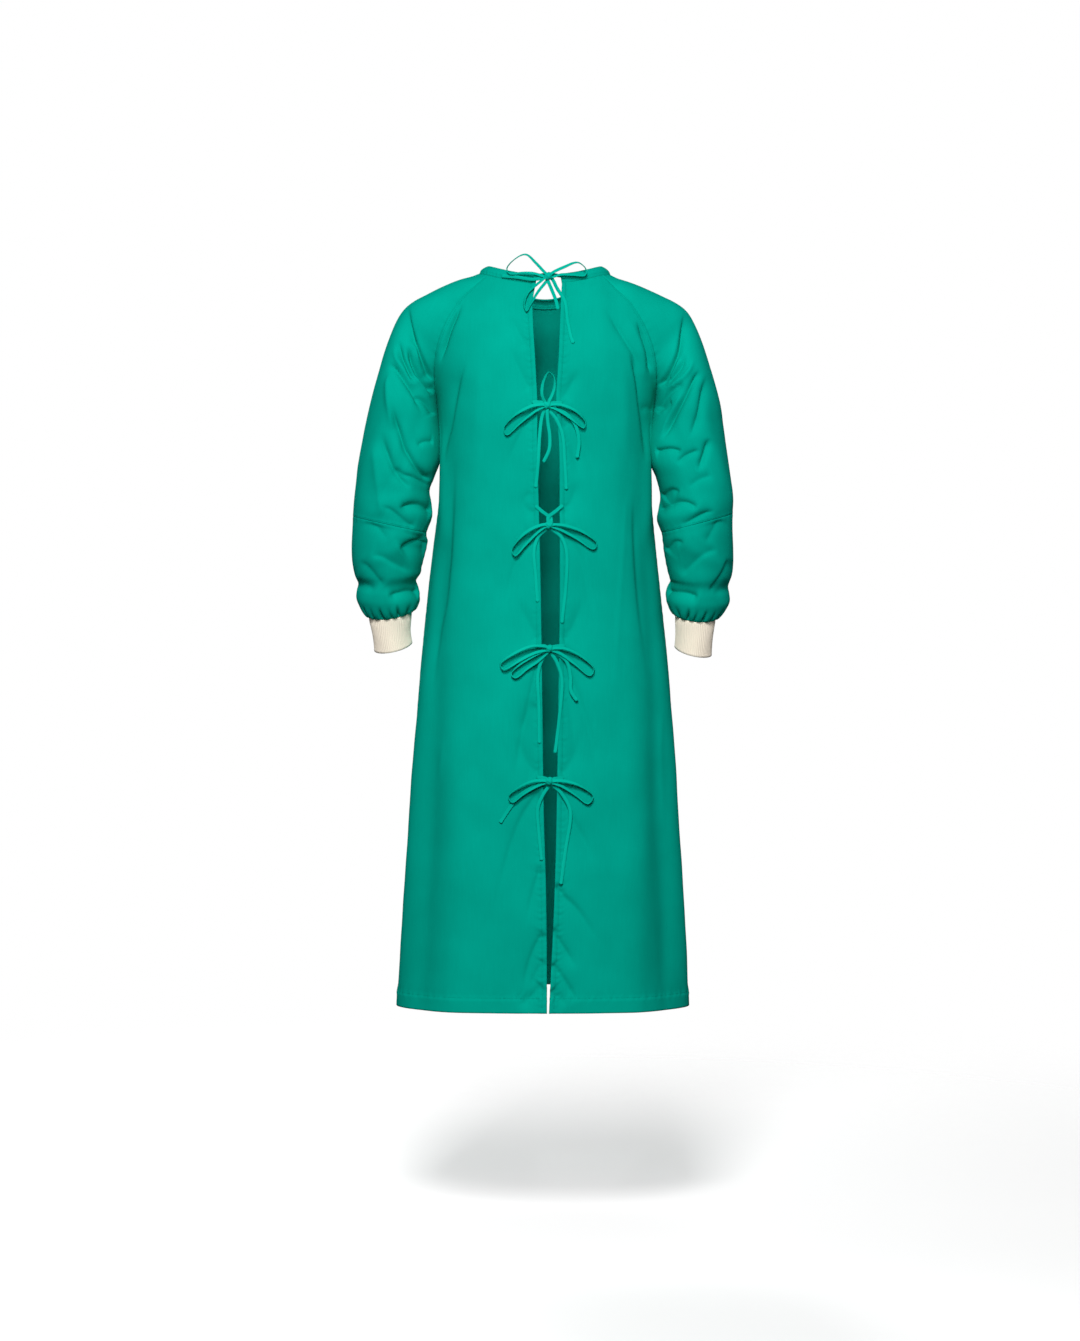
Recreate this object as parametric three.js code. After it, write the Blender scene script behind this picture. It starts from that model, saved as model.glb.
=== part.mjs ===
// A surgical gown as worn, seen from its open back: one front, two backs, raglan sleeves in two
// panels, knit cuffs, a neck band and five tied bows. Millimetres, +Z up. The front faces -Y, the
// open back faces +Y, and +X is the wearer's left. The origin is the middle of the neck opening,
// level with the top of the band at its sides. A drop is a distance below that level.
import * as THREE from 'three';

const CLOTH_WALL = 1.3; // poly-cotton panels, with their turnings
const KNIT_WALL = 1.8; // rib cuffs
const BAND_WALL = 2; // doubled neck band
const SEAM_GAP = 0.3; // parting between sewn pieces
const CLOTH_GREEN = 0x009e89;
const TIE_GREEN = 0x00a892;
const CUFF_CREAM = 0xf3e9d7;
const CLOTH_ROUGHNESS = 0.78;
const KNIT_ROUGHNESS = 0.92;

const UNDERARM_DROP = 218;
const HEM_DROP = 1182;
const HEM_RISE_AT_OPENING = 7; // the ties draw the open edges up a little
const ARMPIT_EASE = 0.5; // sleeve and side seam just clear each other at the underarm point
const YOKE_SQUARENESS = 2; // section exponent at the neck
const BODY_SQUARENESS = 2.3; // section exponent from the underarm down
const BACK_SEAM_TURN = 60; // degrees from centre back to the back raglan seam at the neck
const FRONT_SEAM_TURN = 128; // degrees from centre back to the front raglan seam at the neck

const YOKE_ROWS = 9; // sections from neck to underarm
const SKIRT_ROWS = 13; // sections from underarm to hem
const UPPER_ROWS = 8; // sleeve sections from underarm to forearm seam
const FOREARM_ROWS = 9; // sleeve sections from forearm seam to cuff
const CUFF_ROWS = 2;
const SKIRT_END = YOKE_ROWS + SKIRT_ROWS;
const FOREARM_START = YOKE_ROWS + UPPER_ROWS;
const SLEEVE_END = FOREARM_START + FOREARM_ROWS;
const BACK_COLUMNS = 10;
const FRONT_COLUMNS = 18;
const SLEEVE_COLUMNS = 18;
const GATHERS = 18; // small tucks where each sleeve meets its cuff
const CUFF_COLUMNS = 20;
const BAND_COLUMNS = 60;
const BAND_ROWS = 1;

const GATHER_DEPTH = 2.2; // half height of a tuck at its fullest
const GATHER_RUN = 55; // reach of the tucks up the sleeve
const GATHER_UNEVENNESS = 0.25; // how much the tucks differ in height
const GATHER_BEAT = 1.7; // step of that difference from column to column
const GATHER_PEAK = 16; // height above the cuff where they are fullest

// Neck rings: the seam under the band and the band's top edge.
const NECK_SEAM = { half: 106, back: 78, front: 88, backDrop: 32, sideDrop: 10, frontDrop: 62 };
const NECK_SLOPE = 0.7; // rise of the outward direction along the neck seam
const NECK_TOP = { half: 92, back: 72, front: 77, backDrop: 18, sideDrop: 0, frontDrop: 48 };

// Body sections below the underarm: half widths to the left and right, depths to back and front.
const BODY = [
  { drop: 218, left: 174, right: 177, back: 118, front: 131 },
  { drop: 300, left: 167, right: 169, back: 119, front: 134 },
  { drop: 375, left: 170, right: 171, back: 121, front: 138 },
  { drop: 475, left: 182, right: 180, back: 127, front: 143 },
  { drop: 567, left: 192, right: 190, back: 134, front: 148 },
  { drop: 700, left: 204, right: 202, back: 145, front: 156 },
  { drop: 860, left: 215, right: 211, back: 156, front: 166 },
  { drop: 1020, left: 226, right: 221, back: 167, front: 176 },
  { drop: 1182, left: 237, right: 230, back: 178, front: 186 },
];

// Upper body, from neck (s 0) to underarm (s 1): depth and drop on the two centre lines.
const YOKE = [
  { s: 0, back: 78, backDrop: 32, front: 88, frontDrop: 62 },
  { s: 0.25, back: 94, backDrop: 68, front: 101, frontDrop: 95 },
  { s: 0.5, back: 107, backDrop: 114, front: 115, frontDrop: 135 },
  { s: 0.75, back: 115, backDrop: 167, front: 126, frontDrop: 179 },
  { s: 1, back: 118, backDrop: 224, front: 131, frontDrop: 222 },
];

// Edges of the open back, by drop.
const OPENING = [
  { drop: 30, left: 14.5, right: 27 },
  { drop: 68, left: 20, right: 25 },
  { drop: 150, left: 16, right: 21.6 },
  { drop: 224, left: 12.4, right: 17.7 },
  { drop: 298, left: 12.4, right: 22.6 },
  { drop: 388, left: 10, right: 23 },
  { drop: 519, left: 7, right: 23.4 },
  { drop: 697, left: 4.5, right: 20.9 },
  { drop: 865, left: 2.3, right: 18.2 },
  { drop: 1002, left: -1.6, right: 14.5 },
  { drop: 1182, left: -2.7, right: 5.8 },
];

// Raglan seams and shoulder ridge, from neck to underarm. Turn is how far round its oval, in
// degrees, each sleeve section starts and ends.
const BACK_SEAM = [
  { s: 0, x: 91.8, y: 39, drop: 15.5 },
  { s: 0.2, x: 130, y: 60, drop: 47 },
  { s: 0.36, x: 149, y: 66, drop: 74 },
  { s: 0.5, x: 163, y: 66, drop: 101 },
  { s: 0.66, x: 174, y: 57, drop: 137 },
  { s: 0.84, x: 177, y: 36, drop: 180 },
  { s: 1, x: 174, y: 0, drop: 218 },
];
const FRONT_SEAM = [
  { s: 0, x: 83.5, y: -54.2, drop: 29.7 },
  { s: 0.2, x: 114, y: -76, drop: 61 },
  { s: 0.36, x: 135, y: -86, drop: 91 },
  { s: 0.5, x: 150, y: -86, drop: 120 },
  { s: 0.66, x: 164, y: -74, drop: 158 },
  { s: 0.84, x: 174, y: -42, drop: 192 },
  { s: 1, x: 174, y: 0, drop: 218 },
];
const SHOULDER = [
  { s: 0, x: 106, y: 0, drop: 10, turn: 112 },
  { s: 0.111, x: 135, y: 0, drop: 20, turn: 112 },
  { s: 0.222, x: 163, y: 0, drop: 31, turn: 111 },
  { s: 0.333, x: 188, y: 1, drop: 43, turn: 109 },
  { s: 0.444, x: 208, y: 2, drop: 54, turn: 105 },
  { s: 0.555, x: 225, y: 3, drop: 69, turn: 99 },
  { s: 0.666, x: 238, y: 4, drop: 90, turn: 88 },
  { s: 0.777, x: 253, y: 5, drop: 126, turn: 53 },
  { s: 0.888, x: 267, y: 6, drop: 172, turn: 25 },
  { s: 1, x: 280, y: 6, drop: 219, turn: 0 },
];

// Sleeve sections below the underarm: inner and outer outline, middle and half depth from the side.
// The pinches and bulges are the crumples inside the elbow and the bag above the cuff.
const LEFT_SLEEVE = [
  { row: 0, xIn: 174, dropIn: 218, xOut: 280, dropOut: 219, y: 3, deep: 76 },
  { row: 1, xIn: 174.5, dropIn: 262, xOut: 290, dropOut: 266, y: 6, deep: 74 },
  { row: 2, xIn: 173, dropIn: 303, xOut: 298.5, dropOut: 312, y: 9, deep: 71 },
  { row: 3, xIn: 178, dropIn: 338, xOut: 303, dropOut: 348, y: 10, deep: 68 },
  { row: 4, xIn: 187, dropIn: 366, xOut: 305.5, dropOut: 370, y: 10, deep: 64 },
  { row: 5, xIn: 180, dropIn: 392, xOut: 307, dropOut: 385, y: 9, deep: 65 },
  { row: 6, xIn: 191, dropIn: 428, xOut: 308.5, dropOut: 402, y: 6, deep: 61 },
  { row: 7, xIn: 189.5, dropIn: 447, xOut: 310, dropOut: 430, y: 2, deep: 62 },
  { row: 8, xIn: 198, dropIn: 476, xOut: 311, dropOut: 464, y: -6, deep: 59 },
  { row: 9, xIn: 201, dropIn: 492, xOut: 307, dropOut: 493, y: -12, deep: 57 },
  { row: 10, xIn: 209, dropIn: 507, xOut: 300.6, dropOut: 511, y: -16, deep: 51 },
  { row: 11, xIn: 202.5, dropIn: 525, xOut: 304.5, dropOut: 526, y: -20, deep: 53 },
  { row: 12, xIn: 206, dropIn: 541, xOut: 301, dropOut: 543, y: -24, deep: 48 },
  { row: 13, xIn: 216, dropIn: 553.5, xOut: 284.8, dropOut: 563, y: -27, deep: 35 },
];
const RIGHT_SLEEVE = [
  { row: 0, xIn: 174, dropIn: 218, xOut: 277.5, dropOut: 219, y: 3, deep: 76 },
  { row: 1, xIn: 175, dropIn: 262, xOut: 286, dropOut: 266, y: 6, deep: 74 },
  { row: 2, xIn: 173.5, dropIn: 305, xOut: 293, dropOut: 308, y: 9, deep: 71 },
  { row: 3, xIn: 179, dropIn: 340, xOut: 298.5, dropOut: 346, y: 10, deep: 68 },
  { row: 4, xIn: 186.5, dropIn: 378, xOut: 301.5, dropOut: 368, y: 10, deep: 64 },
  { row: 5, xIn: 179.5, dropIn: 400, xOut: 302, dropOut: 382, y: 9, deep: 65 },
  { row: 6, xIn: 188, dropIn: 428, xOut: 301.5, dropOut: 398, y: 6, deep: 61 },
  { row: 7, xIn: 190.5, dropIn: 445, xOut: 301.5, dropOut: 434, y: 2, deep: 62 },
  { row: 8, xIn: 194, dropIn: 470, xOut: 303, dropOut: 470, y: -6, deep: 59 },
  { row: 9, xIn: 201, dropIn: 499, xOut: 301.5, dropOut: 494, y: -12, deep: 57 },
  { row: 10, xIn: 203, dropIn: 508, xOut: 295, dropOut: 515, y: -16, deep: 52 },
  { row: 11, xIn: 195.5, dropIn: 526, xOut: 298.5, dropOut: 532, y: -20, deep: 53 },
  { row: 12, xIn: 200, dropIn: 543, xOut: 295, dropOut: 547, y: -24, deep: 48 },
  { row: 13, xIn: 211.5, dropIn: 560, xOut: 275.5, dropOut: 566, y: -27, deep: 34 },
];
const FOREARM_SEAM_ROW = 6;
const CUFF_ROW = 13;
const WRIST_TILT = 14; // degrees that the cuff's section dips to the back, as the forearm comes forward

// Knit cuffs: inner and outer outline, from the sleeve's end down.
const LEFT_CUFF = [
  { row: 0, xIn: 216, dropIn: 553.5, xOut: 284.8, dropOut: 563, y: -27, deep: 35 },
  { row: 1, xIn: 219.5, dropIn: 584, xOut: 279, dropOut: 592, y: -29, deep: 32 },
  { row: 2, xIn: 216.5, dropIn: 607, xOut: 275, dropOut: 619, y: -31, deep: 31 },
];
const RIGHT_CUFF = [
  { row: 0, xIn: 211.5, dropIn: 560, xOut: 275.5, dropOut: 566, y: -27, deep: 34 },
  { row: 1, xIn: 213, dropIn: 589, xOut: 271.5, dropOut: 597, y: -29, deep: 32 },
  { row: 2, xIn: 211.5, dropIn: 613.5, xOut: 268.5, dropOut: 626, y: -31, deep: 31 },
];

// Largest folds, each a soft ridge (or trough, where height is negative) from one point of its
// panel to another. Across runs 0 to 1: centre to seam on a back, right to left on the front,
// back seam to front seam on a sleeve.
const FOLD_TAPER = 0.35; // share of a fold's length over which each end dies away
const FOLD_FADE = 0.2; // share of a panel's width over which folds flatten towards its edges
const BACK_FOLDS = [
  { across: 0.9, drop: 215, acrossEnd: 0.72, dropEnd: 470, width: 22, height: 6 },
  { across: 0.74, drop: 330, acrossEnd: 0.6, dropEnd: 800, width: 26, height: -4.5 },
  { across: 0.42, drop: 560, acrossEnd: 0.36, dropEnd: 1330, width: 34, height: 6 },
  { across: 0.62, drop: 640, acrossEnd: 0.6, dropEnd: 1330, width: 30, height: -6 },
  { across: 0.82, drop: 560, acrossEnd: 0.84, dropEnd: 1330, width: 34, height: 7 },
];
const FRONT_FOLDS = [
  { across: 0.1, drop: 240, acrossEnd: 0.2, dropEnd: 560, width: 26, height: 6 },
  { across: 0.9, drop: 240, acrossEnd: 0.8, dropEnd: 540, width: 26, height: 6 },
  { across: 0.14, drop: 560, acrossEnd: 0.13, dropEnd: 1330, width: 34, height: -6 },
  { across: 0.3, drop: 520, acrossEnd: 0.28, dropEnd: 1330, width: 36, height: 8 },
  { across: 0.47, drop: 640, acrossEnd: 0.46, dropEnd: 1330, width: 38, height: -6 },
  { across: 0.66, drop: 500, acrossEnd: 0.69, dropEnd: 1330, width: 36, height: 8 },
  { across: 0.86, drop: 580, acrossEnd: 0.87, dropEnd: 1330, width: 34, height: -6 },
];
const SLEEVE_FOLDS = [
  { across: 0.2, drop: 120, acrossEnd: 0.46, dropEnd: 400, width: 17, height: 5 },
  { across: 0.1, drop: 190, acrossEnd: 0.34, dropEnd: 420, width: 15, height: -5 },
  { across: 0.8, drop: 150, acrossEnd: 0.58, dropEnd: 400, width: 18, height: 5 },
  { across: 0.05, drop: 350, acrossEnd: 0.4, dropEnd: 410, width: 12, height: 4.5 },
  { across: 0.95, drop: 345, acrossEnd: 0.62, dropEnd: 405, width: 12, height: 4.5 },
  { across: 0.04, drop: 420, acrossEnd: 0.45, dropEnd: 500, width: 13, height: 4.5 },
  { across: 0.96, drop: 425, acrossEnd: 0.55, dropEnd: 495, width: 13, height: 4.5 },
];

// Flat ties of the gown's own cloth. A route's points are x (to the wearer's left) and z (up) from
// the middle of the knot, and how far the tape stands off the back.
const TIE_WIDTH = 5.5;
const TIE_WALL = 1.4;
const TIE_STEP = 12;
const AWAY_FROM_BACK = new THREE.Vector3(0, 1, 0);
const KNOT = { x: 7, y: 5, z: 6, lift: 7, gap: 0.7, around: 10, rings: 6 };
const BOWS = [
  {
    name: 'bow_1',
    x: -4.8,
    drop: 21,
    straps: {
      left: [[24, 0, 2.4], [16, 1, 2.8], [8, 2, 4.2]],
      right: [[-28, 0, 2.4], [-18, 1, 2.8], [-8, 2, 4.2]],
    },
    loops: {
      left: [[6, 6, 10.5], [20, 21, 10], [35, 34, 9], [52, 28, 8], [65, 14, 7], [60, 5, 6.6], [42, 6, 6.6],
        [24, 5, 8], [8, 0, 8.6]],
      right: [[-7, 5, 11], [-25, 14, 10], [-46, 22, 9], [-59, 14, 8], [-58, 3, 7], [-40, 3, 7], [-22, 3, 7.6],
        [-8, -1, 8.2]],
      low: [[6, -4, 9.5], [18, -14, 9.5], [32, -27, 7], [38, -46, 5.6], [34, -57, 5.2], [27, -44, 5],
        [16, -25, 5], [2, -7, 5]],
    },
    tails: {
      long: [[-6, -4, 5], [-14, -19, 4.4], [-27, -42, 3], [-31, -72, 2.6], [-36, -98, 2.4], [-40, -108, 2.4]],
      short: [[0, -8, 7.4], [-5, -20, 4.6], [-12, -38, 3.6], [-16, -54, 3.4]],
      side: [[8, -3, 6.6], [26, -5, 5.6], [50, -1, 5], [74, 2, 3.4]],
    },
  },
  {
    name: 'bow_2',
    x: -3.2,
    drop: 227,
    straps: {
      left: [[24, 5, 2.4], [16, 5, 3.2], [7, 4, 5]],
      right: [[-24, 4, 2.4], [-16, 4, 3], [-8, 3.4, 4.4]],
    },
    loops: {
      left: [[8, 1, 11], [26, -2, 11], [50, -15, 8.5], [67, -34, 6.6], [63, -46, 5.4], [45, -30, 5],
        [24, -13, 7], [7, -3, 8.4]],
      right: [[-8, 1, 11], [-24, 0, 11], [-45, -9, 8.5], [-60, -25, 6.6], [-57, -35, 5.4], [-40, -22, 5],
        [-22, -10, 7], [-7, -3, 8.4]],
      up: [[4, 6, 8], [8, 18, 8.5], [6, 36, 7.5], [-2, 52, 6.5], [-10, 44, 5.6], [-11, 28, 5.6], [-7, 15, 6],
        [-3, 7, 6.8]],
    },
    tails: {
      left: [[4, -6, 3.4], [9, -22, 2.6], [12, -50, 2.4], [14, -90, 2.4], [18, -130, 2.4]],
      centre: [[0, -8, 7.5], [-1, -26, 5.6], [-4, -48, 4.6], [-3, -70, 4.2], [6, -90, 3.6]],
      right: [[-2, -7, 3.2], [-15, -23, 2.6], [-25, -50, 2.4], [-28, -90, 2.4], [-30, -133, 2.4]],
      side: [[-8, -4, 4.6], [-28, -12, 3], [-44, -30, 2.4], [-50, -56, 2.4], [-47, -83, 2.4]],
    },
  },
  {
    name: 'bow_3',
    x: -6.4,
    drop: 415.6,
    straps: {
      left: [[22, 31, 2.4], [10, 21, 3.2], [0, 13.5, 4], [-3, 9, 5]],
      right: [[-22, 32, 2.4], [-10, 22, 5.2], [0, 14.5, 7], [2, 9, 8]],
    },
    loops: {
      left: [[8, 1, 11], [24, -4, 11], [42, -16, 8.5], [58, -37, 6.6], [53, -47, 5.4], [38, -31, 5],
        [20, -13, 7], [7, -3, 8.4]],
      right: [[-8, 1, 11], [-27, -1, 11], [-52, -10, 8.5], [-74, -27, 6.6], [-69, -37, 5.4], [-46, -22, 5],
        [-22, -9, 7], [-7, -3, 8.4]],
    },
    tails: {
      left: [[4, -6, 3.6], [17, -18, 2.6], [24, -42, 2.4], [21, -80, 2.4], [18, -121, 2.4]],
      right: [[-4, -6, 3.6], [-20, -20, 2.6], [-28, -46, 2.4], [-26, -96, 2.4], [-20, -154, 2.4]],
    },
  },
  {
    name: 'bow_4',
    x: -6.4,
    drop: 609,
    straps: {
      left: [[23, 4, 2.4], [15, 4, 3.2], [7, 4, 5]],
      right: [[-25, 4, 2.4], [-16, 4, 3.2], [-7, 3, 5]],
    },
    loops: {
      left: [[7.2, 3.6, 12.6], [28, 4, 12], [54, -7, 10.4], [76, -23, 9], [70, -32, 8.4], [46, -18, 8.6],
        [24, -7, 9], [7.8, -2.7, 9.5]],
      low: [[8.4, -3.5, 7.7], [26, -12, 6.8], [46, -25, 6], [59, -39, 5.4], [52, -45, 5], [36, -32, 4.8],
        [17, -19, 5], [4.3, -7.7, 5.2]],
      right: [[-8, 1, 11], [-26, 0, 11], [-50, -12, 8.5], [-70, -31, 6.6], [-63, -42, 5.4], [-42, -25, 5],
        [-22, -10, 7], [-7, -3, 8.4]],
    },
    tails: {
      left: [[4, -7, 3], [13, -22, 2.4], [18, -46, 2.2], [16, -96, 2.2], [15, -148, 2.2]],
      right: [[-3, -7, 3], [-13, -24, 2.4], [-20, -52, 2.4], [-16, -108, 2.4], [-9, -163, 2.4]],
      side: [[-8, -4, 5.4], [-27, -20, 4], [-33, -44, 2.6], [-34, -66, 2.4], [-44, -82, 2.4]],
    },
  },
  {
    name: 'bow_5',
    x: -6.4,
    drop: 815,
    straps: {
      left: [[20, 6, 2.4], [13, 5, 3.4], [6, 4, 5]],
      right: [[-23, 4, 2.4], [-15, 4, 3.2], [-7, 3, 5]],
    },
    loops: {
      left: [[8, 1, 11], [26, 0, 11], [46, -9, 8.5], [63, -23, 6.6], [57, -33, 5.8], [40, -20, 5.6],
        [22, -9, 7.2], [8, -3, 8.4]],
      right: [[-8, 1, 11], [-26, 0, 11], [-49, -8, 8.5], [-68, -23, 6.6], [-60, -35, 5.4], [-42, -22, 5],
        [-22, -9, 7], [-7, -3, 8.4]],
    },
    tails: {
      side: [[7, -4, 4.8], [24, -9, 3.6], [46, -23, 2.4], [63, -44, 2.4], [77, -66, 2.4]],
      left: [[1, -8, 3], [10, -22, 2.4], [18, -44, 2.4], [16, -80, 2.4], [12, -124, 2.4]],
      right: [[-5, -6, 3.2], [-21, -22, 2.6], [-33, -50, 2.4], [-26, -104, 2.4], [-18, -161, 2.4]],
    },
  },
];

const { clamp, degToRad, lerp, smoothstep } = THREE.MathUtils;

// A smooth curve through one column of a table, read by its key column.
function curveThrough(rows, key, name) {
  const at = rows.map((row) => row[key]);
  const value = rows.map((row) => row[name]);
  const slope = at.map((_, i) => {
    const before = Math.max(i - 1, 0);
    const after = Math.min(i + 1, at.length - 1);
    return (value[after] - value[before]) / (at[after] - at[before]);
  });
  return (where) => {
    let i = 0;
    while (i < at.length - 2 && where > at[i + 1]) {
      i += 1;
    }
    const span = at[i + 1] - at[i];
    const t = clamp((where - at[i]) / span, 0, 1);
    const rise = t * t * (3 - 2 * t);
    const start = t * (1 - t) * (1 - t) * span * slope[i];
    const end = t * t * (t - 1) * span * slope[i + 1];
    return lerp(value[i], value[i + 1], rise) + start + end;
  };
}

// Every column of a table as a curve, by name.
function curves(rows, key) {
  const names = Object.keys(rows[0]).filter((name) => name !== key);
  return Object.fromEntries(names.map((name) => [name, curveThrough(rows, key, name)]));
}

const body = curves(BODY, 'drop');
const yoke = curves(YOKE, 's');
const opening = curves(OPENING, 'drop');
const backSeam = curves(BACK_SEAM, 's');
const frontSeam = curves(FRONT_SEAM, 's');
const shoulder = curves(SHOULDER, 's');

const sideAtUnderarm = (side) => (side > 0 ? body.left(UNDERARM_DROP) : body.right(UNDERARM_DROP));
const signedPower = (value, power) => Math.sign(value) * Math.abs(value) ** power;

// A point of a neck ring. Turn runs from centre back (0) by the left side to centre front (180).
function neckPoint(ring, turn) {
  const angle = degToRad(turn);
  const across = Math.sin(angle);
  const along = Math.cos(angle);
  const depth = along > 0 ? ring.back : ring.front;
  const centreDrop = along > 0 ? ring.backDrop : ring.frontDrop;
  const drop = ring.sideDrop + (centreDrop - ring.sideDrop) * along * along;
  return new THREE.Vector3(ring.half * across, depth * along, -drop);
}

// Outward direction shared by the neck edges of the panels and the foot of the band.
function neckNormal(point) {
  return new THREE.Vector3(point.x / NECK_SEAM.half, point.y / NECK_SEAM.back, NECK_SLOPE).normalize();
}

// One section of the body from a centre line to a seam: a superellipse quarter. The row counts from
// the neck; rows past the yoke run down the side seam.
function bodySection(row, side, face) {
  const s = clamp(row / YOKE_ROWS, 0, 1);
  const f = Math.max(row - YOKE_ROWS, 0) / SKIRT_ROWS;
  const isBack = face === 'back';
  const seam = isBack ? backSeam : frontSeam;
  const sideDrop = lerp(UNDERARM_DROP, HEM_DROP, f);
  const inYoke = row <= YOKE_ROWS;
  const hemDrop = isBack ? HEM_DROP - HEM_RISE_AT_OPENING : HEM_DROP;
  const centreDrop = inYoke ? yoke[`${face}Drop`](s) : lerp(yoke[`${face}Drop`](1), hemDrop, f);
  const half = side > 0 ? body.left(sideDrop) : body.right(sideDrop);
  const end = {
    x: inYoke ? seam.x(s) * lerp(1, half / body.left(UNDERARM_DROP), s ** 3) : half,
    y: inYoke ? Math.abs(seam.y(s)) : 0,
    drop: inYoke ? seam.drop(s) : sideDrop,
  };
  const depth = inYoke ? yoke[face](s) : body[face](sideDrop);
  const power = lerp(YOKE_SQUARENESS, BODY_SQUARENESS, s);
  const reach = end.x / (1 - (end.y / depth) ** power) ** (1 / power);
  const last = Math.atan2((end.x / reach) ** (power / 2), (end.y / depth) ** (power / 2));
  return { end, depth, power, reach, last, centreDrop };
}

// A point of a body section, by the angle round it.
function sectionPoint(section, side, face, angle) {
  const { end, depth, power, reach, last, centreDrop } = section;
  const x = side * reach * signedPower(Math.sin(angle), 2 / power);
  const y = depth * signedPower(Math.cos(angle), 2 / power);
  const rise = (Math.sin(angle) / Math.sin(last)) ** 2;
  return new THREE.Vector3(x, face === 'back' ? y : -y, -lerp(centreDrop, end.drop, rise));
}

// The angle on a body section that lies a given distance from the centre line.
function angleAt(section, distance) {
  return Math.asin(signedPower(distance / section.reach, section.power / 2));
}

// Height of a panel's folds at a point: each fold is a soft ridge along a line, tapered at its ends.
function foldHeight(folds, across, drop, girth) {
  return folds.reduce((sum, fold) => {
    const runAcross = (fold.acrossEnd - fold.across) * girth;
    const runDown = fold.dropEnd - fold.drop;
    const length = Math.hypot(runAcross, runDown);
    const toAcross = (across - fold.across) * girth;
    const toDown = drop - fold.drop;
    const along = (toAcross * runAcross + toDown * runDown) / (length * length);
    const aside = (toAcross * runDown - toDown * runAcross) / length;
    const taper = smoothstep(along, 0, FOLD_TAPER) * (1 - smoothstep(along, 1 - FOLD_TAPER, 1));
    return sum + fold.height * taper * Math.exp(-((aside / fold.width) ** 2));
  }, 0);
}

// A panel is a grid of points with an outward normal at each.
function makePanel(rows, columns, pointAt, outward) {
  const points = Array.from({ length: rows + 1 }, (_, i) => (
    Array.from({ length: columns + 1 }, (__, j) => pointAt(i, j))));
  const panel = { points, outward, normals: [] };
  findNormals(panel);
  return panel;
}

// Normals from the grid's two directions; outward is the sign that turns them out of the garment.
function findNormals(panel) {
  const { points, outward } = panel;
  const lastRow = points.length - 1;
  const lastColumn = points[0].length - 1;
  panel.normals = points.map((line, i) => line.map((_, j) => {
    const down = points[Math.min(i + 1, lastRow)][j].clone().sub(points[Math.max(i - 1, 0)][j]);
    const across = line[Math.min(j + 1, lastColumn)].clone().sub(line[Math.max(j - 1, 0)]);
    return across.cross(down).normalize().multiplyScalar(outward);
  }));
}

// Raises a panel's folds, which fade out towards its seams and edges.
function raiseFolds(panel, folds) {
  const columns = panel.points[0].length - 1;
  panel.points.forEach((line, i) => {
    const girth = line.slice(1).reduce((sum, point, j) => sum + point.distanceTo(line[j]), 0);
    line.forEach((point, j) => {
      const across = j / columns;
      const fade = smoothstep(across, 0, FOLD_FADE) * (1 - smoothstep(across, 1 - FOLD_FADE, 1));
      point.addScaledVector(panel.normals[i][j], fade * foldHeight(folds, across, -point.z, girth));
    });
  });
  findNormals(panel);
}

// Gives two sewn edges the same normals, so that their walls meet face to face.
function sew(panelA, cellsA, panelB, cellsB) {
  cellsA.forEach(([i, j], k) => {
    const [m, n] = cellsB[k];
    const shared = panelA.normals[i][j].clone().add(panelB.normals[m][n]).normalize();
    panelA.normals[i][j] = shared;
    panelB.normals[m][n] = shared;
  });
}

const rowCells = (from, to, column) => (
  Array.from({ length: to - from + 1 }, (_, i) => [from + i, column]));

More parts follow.
